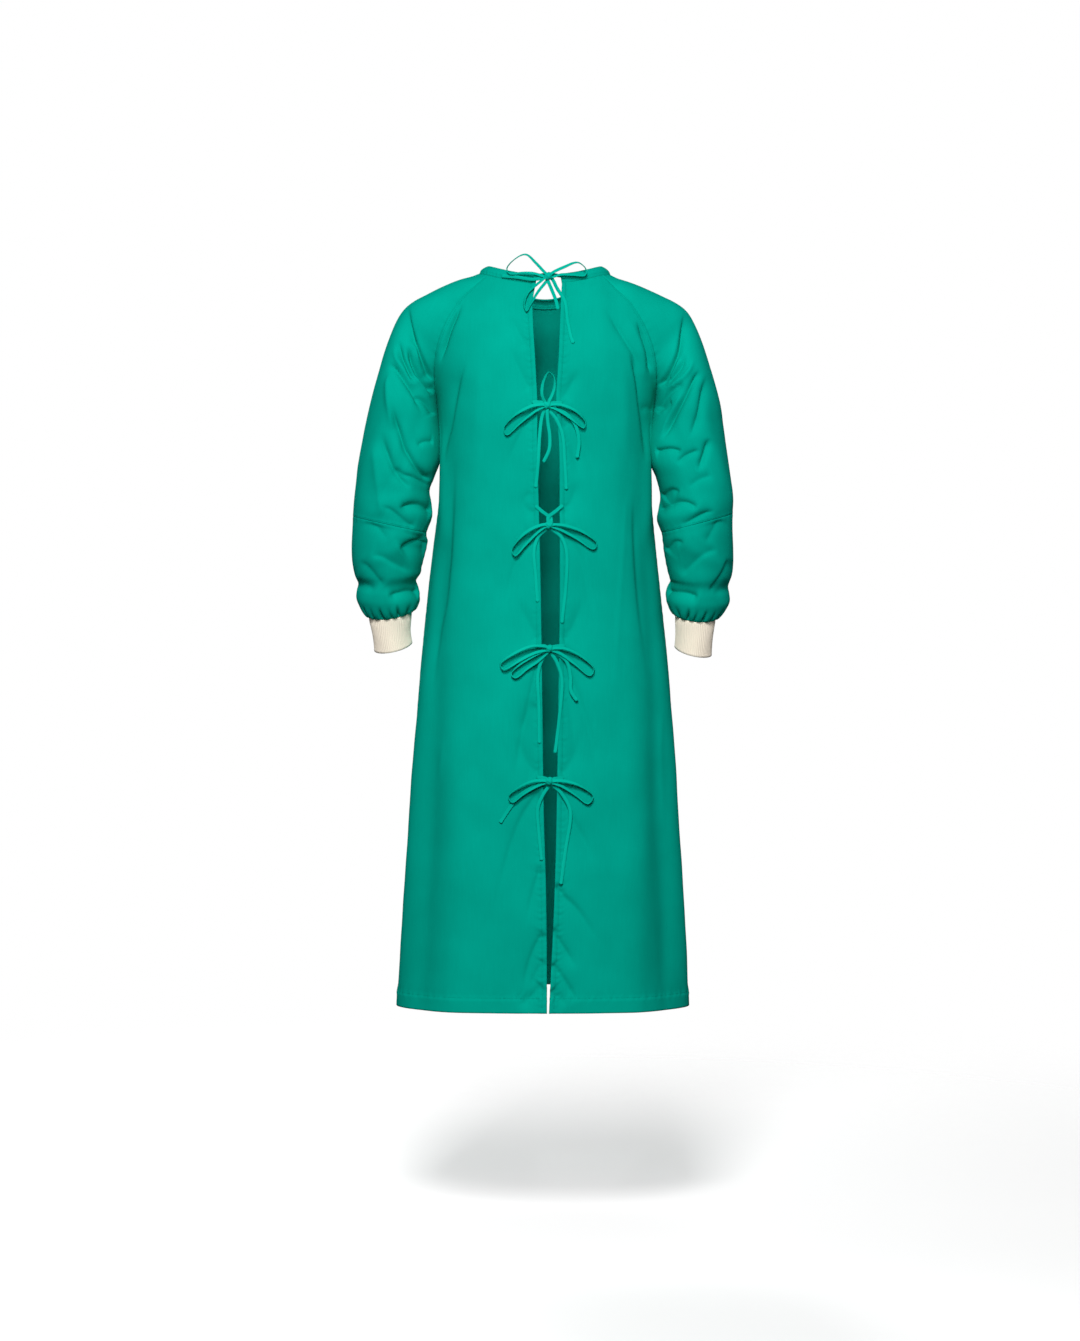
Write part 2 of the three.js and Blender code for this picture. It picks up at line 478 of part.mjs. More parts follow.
// The closed wall of a panel: an outer and an inner grid joined by rims. A loop closes on itself
// across, and every free edge is drawn in by half a seam gap.
function wallGeometry(panel, thickness, firstRow, lastRow, isLoop) {
  const lines = panel.points.slice(firstRow, lastRow + 1);
  const normals = panel.normals.slice(firstRow, lastRow + 1);
  const rows = lines.length;
  const columns = isLoop ? lines[0].length - 1 : lines[0].length;
  const inset = SEAM_GAP / 2;
  const positions = [];
  const vertex = (layer, i, j) => (layer * rows + i) * columns + (j % columns);
  const drawIn = (point, neighbour) => neighbour.clone().sub(point).setLength(inset);
  [0.5, -0.5].forEach((layer) => {
    lines.forEach((line, i) => {
      line.slice(0, columns).forEach((point, j) => {
        const place = point.clone().addScaledVector(normals[i][j], layer * thickness);
        if (i === 0) {
          place.add(drawIn(point, lines[1][j]));
        }
        if (i === rows - 1) {
          place.add(drawIn(point, lines[rows - 2][j]));
        }
        if (!isLoop && j === 0) {
          place.add(drawIn(point, line[1]));
        }
        if (!isLoop && j === columns - 1) {
          place.add(drawIn(point, line[columns - 2]));
        }
        positions.push(place.x, place.y, place.z);
      });
    });
  });
  const index = [];
  const quad = (a, b, c, d) => {
    const corners = panel.outward > 0 ? [a, b, c, a, c, d] : [a, c, b, a, d, c];
    index.push(...corners);
  };
  const spans = isLoop ? columns : columns - 1;
  for (let i = 0; i < rows - 1; i += 1) {
    for (let j = 0; j < spans; j += 1) {
      quad(vertex(0, i, j), vertex(0, i, j + 1), vertex(0, i + 1, j + 1), vertex(0, i + 1, j));
      quad(vertex(1, i, j), vertex(1, i + 1, j), vertex(1, i + 1, j + 1), vertex(1, i, j + 1));
    }
    if (!isLoop) {
      quad(vertex(0, i, 0), vertex(0, i + 1, 0), vertex(1, i + 1, 0), vertex(1, i, 0));
      const edge = columns - 1;
      quad(vertex(0, i, edge), vertex(1, i, edge), vertex(1, i + 1, edge), vertex(0, i + 1, edge));
    }
  }
  for (let j = 0; j < spans; j += 1) {
    const foot = rows - 1;
    quad(vertex(0, 0, j), vertex(1, 0, j), vertex(1, 0, j + 1), vertex(0, 0, j + 1));
    quad(vertex(0, foot, j), vertex(0, foot, j + 1), vertex(1, foot, j + 1), vertex(1, foot, j));
  }
  const geometry = new THREE.BufferGeometry();
  geometry.setAttribute('position', new THREE.Float32BufferAttribute(positions, 3));
  geometry.setIndex(index);
  geometry.computeVertexNormals();
  return geometry;
}

const gown = new THREE.Group();

function addPiece(name, geometry, color, roughness) {
  const material = new THREE.MeshStandardMaterial({ color, roughness, metalness: 0 });
  const mesh = new THREE.Mesh(geometry, material);
  mesh.name = name;
  gown.add(mesh);
}

// A back panel, from the open edge to the raglan and side seams.
function backPanel(side) {
  const edge = side > 0 ? opening.left : opening.right;
  const pointAt = (i, j) => {
    const section = bodySection(i, side, 'back');
    const first = angleAt(section, edge(section.centreDrop));
    return sectionPoint(section, side, 'back', lerp(first, section.last, j / BACK_COLUMNS));
  };
  const panel = makePanel(SKIRT_END, BACK_COLUMNS, pointAt, side);
  raiseFolds(panel, BACK_FOLDS);
  return panel;
}

// The front, from the right seams to the left ones.
function frontPanel() {
  const middle = FRONT_COLUMNS / 2;
  const pointAt = (i, j) => {
    const side = j < middle ? -1 : 1;
    const section = bodySection(i, side, 'front');
    return sectionPoint(section, side, 'front', section.last * Math.abs(j / middle - 1));
  };
  const panel = makePanel(SKIRT_END, FRONT_COLUMNS, pointAt, -1);
  raiseFolds(panel, FRONT_FOLDS);
  return panel;
}

// A point of an oval sleeve section. Its first and last points are the two seams (one seam where
// start is 0), and halfway round is the outer ridge.
function ovalPoint(middle, outer, deep, deepDirection, start, t) {
  const toOuter = outer.clone().sub(middle);
  const half = toOuter.length() / (1 + Math.cos(start));
  toOuter.normalize();
  const angle = lerp(start, 2 * Math.PI - start, t);
  return outer.clone()
    .addScaledVector(toOuter, -half * (1 + Math.cos(angle)))
    .addScaledVector(deepDirection, deep * Math.sin(angle));
}

// A raglan sleeve section between its back and front seams, at s from neck to underarm.
function raglanPoint(s, side, width, t) {
  const ease = ARMPIT_EASE * s ** 4;
  const grow = lerp(1, width / BACK_SEAM.at(-1).x, s ** 3);
  const back = new THREE.Vector3(backSeam.x(s) * grow + ease, backSeam.y(s), -backSeam.drop(s));
  const front = new THREE.Vector3(frontSeam.x(s) * grow + ease, frontSeam.y(s), -frontSeam.drop(s));
  const ridge = new THREE.Vector3(shoulder.x(s), shoulder.y(s), -shoulder.drop(s));
  const middle = back.clone().add(front).multiplyScalar(0.5);
  const between = back.clone().sub(front);
  const start = degToRad(shoulder.turn(s));
  const deep = between.length() / 2 / Math.sin(start);
  const point = ovalPoint(middle, ridge, deep, between.normalize(), start, t);
  point.x *= side;
  return point;
}

// A section of sleeve or cuff below the underarm, by its row in the table and its tilt in degrees.
function tubePoint(table, row, side, t, tilt) {
  const inner = new THREE.Vector3(table.xIn(row), table.y(row), -table.dropIn(row));
  const outer = new THREE.Vector3(table.xOut(row), table.y(row), -table.dropOut(row));
  const deepDirection = new THREE.Vector3(0, Math.cos(degToRad(tilt)), -Math.sin(degToRad(tilt)));
  const point = ovalPoint(inner, outer, table.deep(row), deepDirection, 0, t);
  point.x *= side;
  return point;
}

// A sleeve's grid: neck edge, raglan sections, then tube sections from the underarm to the cuff.
function sleevePanel(side, sections, columns) {
  const table = curves(sections, 'row');
  const pointAt = (i, j) => {
    const t = j / columns;
    if (i === 0) {
      const point = neckPoint(NECK_SEAM, lerp(BACK_SEAM_TURN, FRONT_SEAM_TURN, t));
      point.x *= side;
      return point;
    }
    if (i < YOKE_ROWS) {
      return raglanPoint(i / YOKE_ROWS, side, sideAtUnderarm(side), t);
    }
    const upper = Math.min(i - YOKE_ROWS, UPPER_ROWS) / UPPER_ROWS;
    const lower = Math.max(i - FOREARM_START, 0) / FOREARM_ROWS;
    const row = FOREARM_SEAM_ROW * upper + (CUFF_ROW - FOREARM_SEAM_ROW) * lower;
    const tilt = WRIST_TILT * smoothstep(row, FOREARM_SEAM_ROW, CUFF_ROW);
    const point = tubePoint(table, row, side, t, tilt);
    const shift = (sideAtUnderarm(side) + ARMPIT_EASE - table.xIn(0)) * (1 - smoothstep(row, 0, 2));
    point.x += side * shift;
    return point;
  };
  const panel = makePanel(SLEEVE_END, columns, pointAt, side);
  raiseFolds(panel, SLEEVE_FOLDS);
  return panel;
}

// Tucks round the sleeve's end: columns lie out and in by turns, fullest just above the cuff.
function raiseGathers(panel) {
  const foot = panel.points.at(-1);
  panel.points.slice(FOREARM_START).forEach((line, i) => {
    line.forEach((point, j) => {
      const height = point.distanceTo(foot[j]);
      const rise = smoothstep(height, 0, GATHER_PEAK) * (1 - smoothstep(height, GATHER_PEAK, GATHER_RUN));
      const uneven = 1 - GATHER_UNEVENNESS * (1 + Math.sin(GATHER_BEAT * j));
      const sign = j % 2 === 0 ? -1 : 1;
      const normal = panel.normals[FOREARM_START + i][j];
      point.addScaledVector(normal, sign * uneven * rise * GATHER_DEPTH);
    });
  });
  findNormals(panel);
}

const UNDERARM_NORMAL = new THREE.Vector3(0, 0, -1);

// Turns a ring's normals straight out from its middle, where sleeve and cuff meet.
function setRingNormals(panel, row) {
  const line = panel.points[row];
  const middle = line.slice(1).reduce((sum, point) => sum.add(point), new THREE.Vector3());
  middle.divideScalar(line.length - 1);
  panel.normals[row] = line.map((point) => point.clone().sub(middle).normalize());
}

// Sets the normals along a panel's neck edge.
function setNeckNormals(panel) {
  panel.normals[0] = panel.points[0].map(neckNormal);
}

const front = frontPanel();
setNeckNormals(front);
const SIDES = [
  { name: 'left', side: 1, sleeve: LEFT_SLEEVE, cuff: LEFT_CUFF, frontColumn: FRONT_COLUMNS },
  { name: 'right', side: -1, sleeve: RIGHT_SLEEVE, cuff: RIGHT_CUFF, frontColumn: 0 },
];
SIDES.forEach(({ name, side, sleeve, cuff, frontColumn }) => {
  const back = backPanel(side);
  const upper = sleevePanel(side, sleeve, SLEEVE_COLUMNS);
  const forearm = sleevePanel(side, sleeve, GATHERS * 2);
  raiseGathers(forearm);
  [back, upper].forEach(setNeckNormals);
  const raglanRows = [1, YOKE_ROWS - 1];
  sew(back, rowCells(...raglanRows, BACK_COLUMNS), upper, rowCells(...raglanRows, 0));
  sew(front, rowCells(...raglanRows, frontColumn), upper, rowCells(...raglanRows, SLEEVE_COLUMNS));
  const sideRows = [YOKE_ROWS + 1, SKIRT_END];
  sew(back, rowCells(...sideRows, BACK_COLUMNS), front, rowCells(...sideRows, frontColumn));
  const tubeRows = [YOKE_ROWS + 1, SLEEVE_END];
  sew(upper, rowCells(...tubeRows, 0), upper, rowCells(...tubeRows, SLEEVE_COLUMNS));
  sew(forearm, rowCells(...tubeRows, 0), forearm, rowCells(...tubeRows, GATHERS * 2));
  setRingNormals(forearm, SLEEVE_END);
  back.normals[YOKE_ROWS][BACK_COLUMNS] = UNDERARM_NORMAL;
  front.normals[YOKE_ROWS][frontColumn] = UNDERARM_NORMAL;
  upper.normals[YOKE_ROWS][0] = UNDERARM_NORMAL;
  upper.normals[YOKE_ROWS][SLEEVE_COLUMNS] = UNDERARM_NORMAL;

  const backWall = wallGeometry(back, CLOTH_WALL, 0, SKIRT_END, false);
  addPiece(`back_${name}`, backWall, CLOTH_GREEN, CLOTH_ROUGHNESS);
  const upperWall = wallGeometry(upper, CLOTH_WALL, 0, FOREARM_START, false);
  addPiece(`sleeve_${name}`, upperWall, CLOTH_GREEN, CLOTH_ROUGHNESS);
  const forearmWall = wallGeometry(forearm, CLOTH_WALL, FOREARM_START, SLEEVE_END, false);
  addPiece(`forearm_${name}`, forearmWall, CLOTH_GREEN, CLOTH_ROUGHNESS);

  const knit = curves(cuff, 'row');
  const cuffPoint = (i, j) => tubePoint(knit, i, side, j / CUFF_COLUMNS, WRIST_TILT);
  const tube = makePanel(CUFF_ROWS, CUFF_COLUMNS, cuffPoint, side);
  sew(tube, rowCells(0, CUFF_ROWS, 0), tube, rowCells(0, CUFF_ROWS, CUFF_COLUMNS));
  setRingNormals(tube, 0);
  addPiece(`cuff_${name}`, wallGeometry(tube, KNIT_WALL, 0, CUFF_ROWS, true), CUFF_CREAM, KNIT_ROUGHNESS);
});
addPiece('front', wallGeometry(front, CLOTH_WALL, 0, SKIRT_END, false), CLOTH_GREEN, CLOTH_ROUGHNESS);

// The neck band runs from the left open edge by the front to the right one.
const bandEnd = (edge) => THREE.MathUtils.radToDeg(Math.asin(edge(NECK_SEAM.backDrop) / NECK_SEAM.half));
const bandFirst = bandEnd(opening.left);
const bandLast = 360 - bandEnd(opening.right);
const bandPoint = (i, j) => {
  const turn = lerp(bandFirst, bandLast, j / BAND_COLUMNS);
  return neckPoint(NECK_TOP, turn).lerp(neckPoint(NECK_SEAM, turn), i / BAND_ROWS);
};
const band = makePanel(BAND_ROWS, BAND_COLUMNS, bandPoint, 1);
band.normals[BAND_ROWS] = band.points[BAND_ROWS].map(neckNormal);
addPiece('neck_band', wallGeometry(band, BAND_WALL, 0, BAND_ROWS, false), CLOTH_GREEN, CLOTH_ROUGHNESS);

const ROW_TOLERANCE = 0.001;

// The back's surface at a distance from the centre line and a drop, carried on across the opening.
function backSurface(x, drop) {
  let low = 0;
  let high = SKIRT_END;
  while (high - low > ROW_TOLERANCE) {
    const row = (low + high) / 2;
    if (bodySection(row, Math.sign(x) || 1, 'back').centreDrop < drop) {
      low = row;
    } else {
      high = row;
    }
  }
  const section = bodySection(low, Math.sign(x) || 1, 'back');
  return sectionPoint(section, 1, 'back', angleAt(section, Math.abs(x))).y;
}

// A route point in space.
function tiePoint(bow, [x, z, lift]) {
  const place = new THREE.Vector3(bow.x + x, 0, z - bow.drop);
  place.y = backSurface(place.x, -place.z) + lift;
  return place;
}

// Moves an end of a tape to just clear of its knot.
function meetKnot(centre, point) {
  const away = point.clone().sub(centre);
  const clear = new THREE.Vector3(KNOT.x, KNOT.y, KNOT.z).addScalar(KNOT.gap);
  const reach = away.clone().divide(clear).length();
  return centre.clone().addScaledVector(away, 1 / reach);
}

// A flat tape along its route, its face turned away from the gown.
function tapeGeometry(points) {
  const path = new THREE.CatmullRomCurve3(points, false, 'centripetal');
  const steps = Math.max(2, Math.round(path.getLength() / TIE_STEP));
  const pointAt = (i, j) => {
    const aside = path.getTangentAt(i / steps).cross(AWAY_FROM_BACK).setLength(TIE_WIDTH / 2);
    return path.getPointAt(i / steps).addScaledVector(aside, 2 * j - 1);
  };
  const tape = makePanel(steps, 1, pointAt, -1);
  return wallGeometry(tape, TIE_WALL, 0, steps, false);
}

BOWS.forEach((bow) => {
  const centre = tiePoint(bow, [0, 0, KNOT.lift]);
  const knot = new THREE.SphereGeometry(1, KNOT.around, KNOT.rings);
  knot.scale(KNOT.x, KNOT.y, KNOT.z);
  knot.translate(centre.x, centre.y, centre.z);
  addPiece(`${bow.name}_knot`, knot, TIE_GREEN, CLOTH_ROUGHNESS);
  const addTape = (name, route, meetsFirst, meetsLast) => {
    const points = route.map((point) => tiePoint(bow, point));
    if (meetsFirst) {
      points[0] = meetKnot(centre, points[0]);
    }
    if (meetsLast) {
      points[points.length - 1] = meetKnot(centre, points.at(-1));
    }
    addPiece(`${bow.name}_${name}`, tapeGeometry(points), TIE_GREEN, CLOTH_ROUGHNESS);
  };
  Object.entries(bow.straps).forEach(([name, route]) => addTape(`strap_${name}`, route, false, true));
  Object.entries(bow.loops).forEach(([name, route]) => addTape(`loop_${name}`, route, true, true));
  Object.entries(bow.tails).forEach(([name, route]) => addTape(`tail_${name}`, route, true, false));
});

export default gown;
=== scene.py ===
# A surgical gown as worn, seen from its open back, in metres and in the frame of its solids: +Z up,
# the front faces -Y, the open back +Y, and +X is the gown's left. Tables are in millimetres, and a
# drop is a distance below the top of the neck band.
import math

import bpy
import numpy as np
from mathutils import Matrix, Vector


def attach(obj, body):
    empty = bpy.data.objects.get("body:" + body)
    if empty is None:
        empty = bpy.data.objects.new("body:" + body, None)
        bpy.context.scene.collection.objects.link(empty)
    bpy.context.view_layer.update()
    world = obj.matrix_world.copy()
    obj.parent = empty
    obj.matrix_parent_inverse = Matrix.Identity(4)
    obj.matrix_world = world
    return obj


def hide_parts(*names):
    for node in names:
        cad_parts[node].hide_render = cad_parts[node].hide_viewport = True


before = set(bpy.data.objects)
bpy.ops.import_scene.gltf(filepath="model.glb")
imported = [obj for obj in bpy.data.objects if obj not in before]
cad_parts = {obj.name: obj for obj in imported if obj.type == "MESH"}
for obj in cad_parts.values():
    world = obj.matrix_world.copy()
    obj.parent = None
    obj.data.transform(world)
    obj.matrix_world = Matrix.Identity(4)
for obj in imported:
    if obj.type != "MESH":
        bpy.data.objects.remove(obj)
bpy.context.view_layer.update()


# Front and backs. Three panels of green plain-weave poly-cotton, cut flaring to the hem and sewn at
# the raglan and side seams. The two backs stop short of each other, and their free edges and the
# hem are turned under and stitched down, which draws them into small puckers.
MM = 0.001
CLOTH_WALL, SEAM_LAP = 1.3, 0.25
UNDERARM_DROP, HEM_DROP, HEM_RISE_AT_OPENING = 218, 1182, 7
YOKE_ROWS, YOKE_STEP, SKIRT_ROWS = 9, 22, 13
EDGE_TURNING, HEM_TURNING, STITCH_IN = 9, 25, 1.5
RAGLAN_STITCH_IN, SEAM_CALM, TOP_CALM = 5, 12, 8
FOLD_TAPER, FOLD_FADE, CREASE_LIMIT = 0.35, 0.2, 20


def columns(names, *rows):
    """A short table by column name."""
    return dict(zip(names.split(), np.array(rows, float).T))


BODY = columns(
    "drop left right back front",
    (218, 174, 177, 118, 131), (300, 167, 169, 119, 134), (375, 170, 171, 121, 138),
    (475, 182, 180, 127, 143), (567, 192, 190, 134, 148), (700, 204, 202, 145, 156),
    (860, 215, 211, 156, 166), (1020, 226, 221, 167, 176), (1182, 237, 230, 178, 186))
YOKE = columns(
    "s back back_drop front front_drop",
    (0, 78, 32, 88, 62), (0.25, 94, 68, 101, 95), (0.5, 107, 114, 115, 135),
    (0.75, 115, 167, 126, 179), (1, 118, 224, 131, 222))
OPENING = columns(
    "drop left right",
    (30, 14.5, 27), (68, 20, 25), (150, 16, 21.6), (224, 12.4, 17.7), (298, 12.4, 22.6),
    (388, 10, 23), (519, 7, 23.4), (697, 4.5, 20.9), (865, 2.3, 18.2), (1002, -1.6, 14.5),
    (1182, -2.7, 5.8))
BACK_SEAM = columns(
    "s x y drop",
    (0, 91.8, 39, 15.5), (0.2, 130, 60, 47), (0.36, 149, 66, 74), (0.5, 163, 66, 101),
    (0.66, 174, 57, 137), (0.84, 177, 36, 180), (1, 174, 0, 218))
FRONT_SEAM = columns(
    "s x y drop",
    (0, 83.5, -54.2, 29.7), (0.2, 114, -76, 61), (0.36, 135, -86, 91), (0.5, 150, -86, 120),
    (0.66, 164, -74, 158), (0.84, 174, -42, 192), (1, 174, 0, 218))
FOLD_COLUMNS = "across drop across_end drop_end width height"
BACK_FOLDS = columns(
    FOLD_COLUMNS,
    (0.9, 215, 0.72, 470, 22, 6), (0.74, 330, 0.6, 800, 26, -4.5), (0.42, 560, 0.36, 1330, 34, 6),
    (0.62, 640, 0.6, 1330, 30, -6), (0.82, 560, 0.84, 1330, 34, 7))
FRONT_FOLDS = columns(
    FOLD_COLUMNS,
    (0.1, 240, 0.2, 560, 26, 6), (0.9, 240, 0.8, 540, 26, 6), (0.14, 560, 0.13, 1330, 34, -6),
    (0.3, 520, 0.28, 1330, 36, 8), (0.47, 640, 0.46, 1330, 38, -6), (0.66, 500, 0.69, 1330, 36, 8),
    (0.86, 580, 0.87, 1330, 34, -6))


def smooth(low, high, value):
    """Eases from 0 at low to 1 at high: 3u^2 - 2u^3."""
    u = np.clip((value - low) / (high - low), 0, 1)
    return u * u * (3 - 2 * u)


def through(at, value, where):
    """Cubic through the points (at, value). A point's slope is that from the one before to the one after."""
    at, value, where = (np.asarray(x, float) for x in (at, value, where))
    index = np.arange(len(at))
    before, after = np.maximum(index - 1, 0), np.minimum(index + 1, len(at) - 1)
    deep = (1,) * (value.ndim - 1)
    slope = (value[after] - value[before]) / (at[after] - at[before]).reshape(-1, *deep)
    i = np.clip(np.searchsorted(at, where) - 1, 0, len(at) - 2)
    span = (at[i + 1] - at[i]).reshape(where.shape + deep)
    t = np.clip((where - at[i]).reshape(where.shape + deep) / span, 0, 1)
    rise = t * t * (3 - 2 * t)
    bend = t * (1 - t) ** 2 * slope[i] + t * t * (t - 1) * slope[i + 1]
    return value[i] * (1 - rise) + value[i + 1] * rise + bend * span


def spread(count, ease):
    """Steps from 0 to 1 that lie closer at both ends: u - ease sin(2 pi u) / (2 pi)."""
    u = np.linspace(0, 1, count + 1)
    return u - ease * np.sin(2 * np.pi * u) / (2 * np.pi)


def signed_power(value, power):
    """A power of the size of a value, with the value's sign."""
    return np.sign(value) * np.abs(value) ** power


def body_section(row, side, face):
    """Sections of the body by row: superellipse quarters from the centre line, depth out, to the seam."""
    row = np.asarray(row, float)
    s = np.clip(row / YOKE_ROWS, 0, 1)
    f = np.maximum(row - YOKE_ROWS, 0) / SKIRT_ROWS
    in_yoke = row <= YOKE_ROWS
    seam = BACK_SEAM if face == "back" else FRONT_SEAM
    side_drop = UNDERARM_DROP + (HEM_DROP - UNDERARM_DROP) * f
    hem = HEM_DROP - HEM_RISE_AT_OPENING * (face == "back")
    centre = through(YOKE["s"], YOKE[face + "_drop"], s)
    half = through(BODY["drop"], BODY["left" if side > 0 else "right"], side_drop)
    x = np.where(in_yoke, through(seam["s"], seam["x"], s) * (1 + (half / BODY["left"][0] - 1) * s**3), half)
    y = np.where(in_yoke, np.abs(through(seam["s"], seam["y"], s)), 0)
    depth = np.where(in_yoke, through(YOKE["s"], YOKE[face], s), through(BODY["drop"], BODY[face], side_drop))
    power = 2 + 0.3 * s
    reach = x / (1 - (y / depth) ** power) ** (1 / power)
    return {
        "side_drop": np.where(in_yoke, through(seam["s"], seam["drop"], s), side_drop),
        "centre_drop": centre + (hem - centre) * f, "depth": depth, "power": power, "reach": reach,
        "last": np.arctan2((x / reach) ** (power / 2), (y / depth) ** (power / 2))}


def section_points(section, side, face, angle):
    """Points of body sections: reach sin^(2/p) across, depth cos^(2/p) deep, the drop eased to the seam's."""
    part = {name: np.expand_dims(value, -1) for name, value in section.items()}
    x = side * part["reach"] * signed_power(np.sin(angle), 2 / part["power"])
    y = part["depth"] * signed_power(np.cos(angle), 2 / part["power"])
    rise = (np.sin(angle) / np.sin(part["last"])) ** 2
    drop = part["centre_drop"] + (part["side_drop"] - part["centre_drop"]) * rise
    return np.stack(np.broadcast_arrays(x, y if face == "back" else -y, -drop), -1)


def angle_at(section, distance):
    """The angle on body sections that lies a distance from the centre line."""
    return np.arcsin(signed_power(distance / section["reach"], section["power"] / 2))


def back_sections(side, t):
    """Sections of one back, from its free edge (t 0) round to the raglan and side seam (t 1)."""
    section = body_section(np.arange(YOKE_ROWS + SKIRT_ROWS + 1), side, "back")
    edge = through(OPENING["drop"], OPENING["left" if side > 0 else "right"], section["centre_drop"])
    first, last = angle_at(section, edge)[:, None], section["last"][:, None]
    return section_points(section, side, "back", first + (last - first) * t)


def front_sections(t):
    """Sections of the front from the right seam (t 0) to the left one (t 1): a half for each side."""
    halves = []
    for side in (-1, 1):
        section = body_section(np.arange(YOKE_ROWS + SKIRT_ROWS + 1), side, "front")
        angle = section["last"][:, None] * np.abs(2 * t - 1)
        halves.append(section_points(section, side, "front", angle))
    return np.where((t < 0.5)[:, None], *halves)


def settle(points):
    """Lets the worn shoulders down, 3 mm on the left and 7 on the right, eased out at neck and sleeve."""
    x, drop = points[..., 0], -points[..., 2]
    share = smooth(85, 120, np.abs(x)) * (1 - smooth(190, 250, np.abs(x))) * (1 - smooth(100, 220, drop))
    points = points.copy()
    points[..., 2] -= np.where(x > 0, 3, 7) * share
    return points


def outward(points, sign):
    """Unit normals of a grid: the step across times the step down, turned out of the garment."""
    normal = np.cross(np.gradient(points, axis=1), np.gradient(points, axis=0)) * sign
    return normal / np.maximum(np.linalg.norm(normal, axis=-1, keepdims=True), 1e-9)


def run(points, axis):
    """Distance along a grid's rows (axis 1) or columns (axis 0), or along a line (axis 0), from its start."""
    step = np.linalg.norm(np.diff(points, axis=axis), axis=-1)
    return np.pad(np.cumsum(step, axis=axis), [(int(k == axis), 0) for k in range(step.ndim)])


def large_folds(points, t, folds):
    """Height of the cut's largest folds: soft ridges, height exp(-(aside / width)^2), tapered at the ends."""
    girth, drop = run(points, 1)[:, -1:], -points[..., 2]
    total = np.zeros(drop.shape)
    for across, start, across_end, end, width, height in zip(*folds.values()):
        run_across, run_down = (across_end - across) * girth, end - start
        length = np.hypot(run_across, run_down)
        to_across, to_down = (t - across) * girth, drop - start
        along = (to_across * run_across + to_down * run_down) / length**2
        aside = (to_across * run_down - to_down * run_across) / length
        taper = smooth(0, FOLD_TAPER, along) * (1 - smooth(1 - FOLD_TAPER, 1, along))
        total += height * taper * np.exp(-((aside / width) ** 2))
    return total * smooth(0, FOLD_FADE, t) * (1 - smooth(1 - FOLD_FADE, 1, t))


def creases(points, normals, lines, face):
    """Height of creases placed on the face turned to +Y (face 1) or -Y (face -1). Each runs along
    a curve of (x, drop) points. With u = aside / width it is part hollow, -depth exp(-u) rounded at the
    bottom, and by the share of its lean part step, which falls to the curve's left hand (lean above 0) or
    right and dies away as exp(-0.8 u). It fades over the given shares of its length at its start and end."""
    flat = points[..., [0, 2]] * (1, -1)
    total = np.zeros(flat.shape[:2])
    for line, width, depth, lean, start, end in lines:
        line = np.array(line, float)
        count = 8 * (len(line) - 1)
        curve = through(np.arange(len(line)), line, np.linspace(0, len(line) - 1, count + 1))
        way = np.diff(curve, axis=0)
        near = ((flat[..., None, :] - (curve[1:] + curve[:-1]) / 2) ** 2).sum(-1).argmin(-1)
        to, way = flat - curve[near], way[near]
        share = np.clip((to * way).sum(-1) / (way**2).sum(-1), 0, 1)
        aside = np.linalg.norm(to - share[..., None] * way, axis=-1)
        left = np.sign(way[..., 0] * to[..., 1] - way[..., 1] * to[..., 0])
        along = (near + share) / count
        taper = smooth(0, start, along) * (1 - smooth(1 - end, 1, along))
        u = aside / width
        hollow, step = np.exp(0.4 - np.sqrt(u**2 + 0.16)), np.tanh(left * aside / 3) * np.exp(-0.8 * u)
        total -= depth * taper * ((1 - abs(lean)) * hollow + lean * step)
    return CREASE_LIMIT * np.tanh(total / CREASE_LIMIT) * smooth(0, 0.25, face * normals[..., 1])


def ripple(along, pitch, seed):
    """Uneven puckers along a sewn line: three sines of unlike pitch, -1 to 1."""
    parts = [np.sin(2 * np.pi * along / (pitch * k) + seed * (3 + k)) for k in (1, 1.37, 2.3)]
    return 0.5 * parts[0] + 0.3 * parts[1] + 0.2 * parts[2]


def sewn(distance, along, turning, seed, calm=1):
    """A turned, stitched edge: cloth doubled up to the stitch line, a groove on it and puckers round it,
    which are calm beside a crossing seam."""
    doubled = CLOTH_WALL * (1 - smooth(turning - 1, turning + 2, distance))
    groove = -1.3 * np.exp(-(((distance - turning + STITCH_IN) / 2) ** 2))
    slanted = along + 0.5 * np.abs(distance - turning)
    puckers = 1.6 * ripple(slanted, 9, seed) * np.exp(-(((distance - turning + 1) / 7) ** 2))
    return doubled + groove + puckers * calm


def seam(distance, along):
    """A plain seam: the edge rolls in, with slight puckers beside it that are the same on both its sides."""
    puckers = 0.35 * ripple(along, 13, 5) * np.exp(-((distance / 8) ** 2))
    return puckers - 0.4 * np.exp(-((distance / 1.6) ** 2))


def slack(points, seed):
    """Slight unevenness of worn cloth: broad sines crossing at a slant, up to about half a millimetre."""
    x, y, z = np.moveaxis(points, -1, 0)
    around = x + 0.7 * y
    return 0.35 * np.sin(around / 17 + z / 61 + seed) * np.sin(z / 43 - around / 39 + 2 * seed) \
        + 0.2 * np.sin(around / 9.1 - z / 27 + 3 * seed) * np.sin(z / 19 + around / 31 + seed)


def quads_of(index, flip=False):
    """Quads between the neighbours of a grid of point numbers, turned the other way round if flipped."""
    corners = [index[:-1, :-1], index[:-1, 1:], index[1:, 1:], index[1:, :-1]]
    return np.stack(corners, -1).reshape(-1, 4)[:, [0, 3, 2, 1] if flip else [0, 1, 2, 3]]


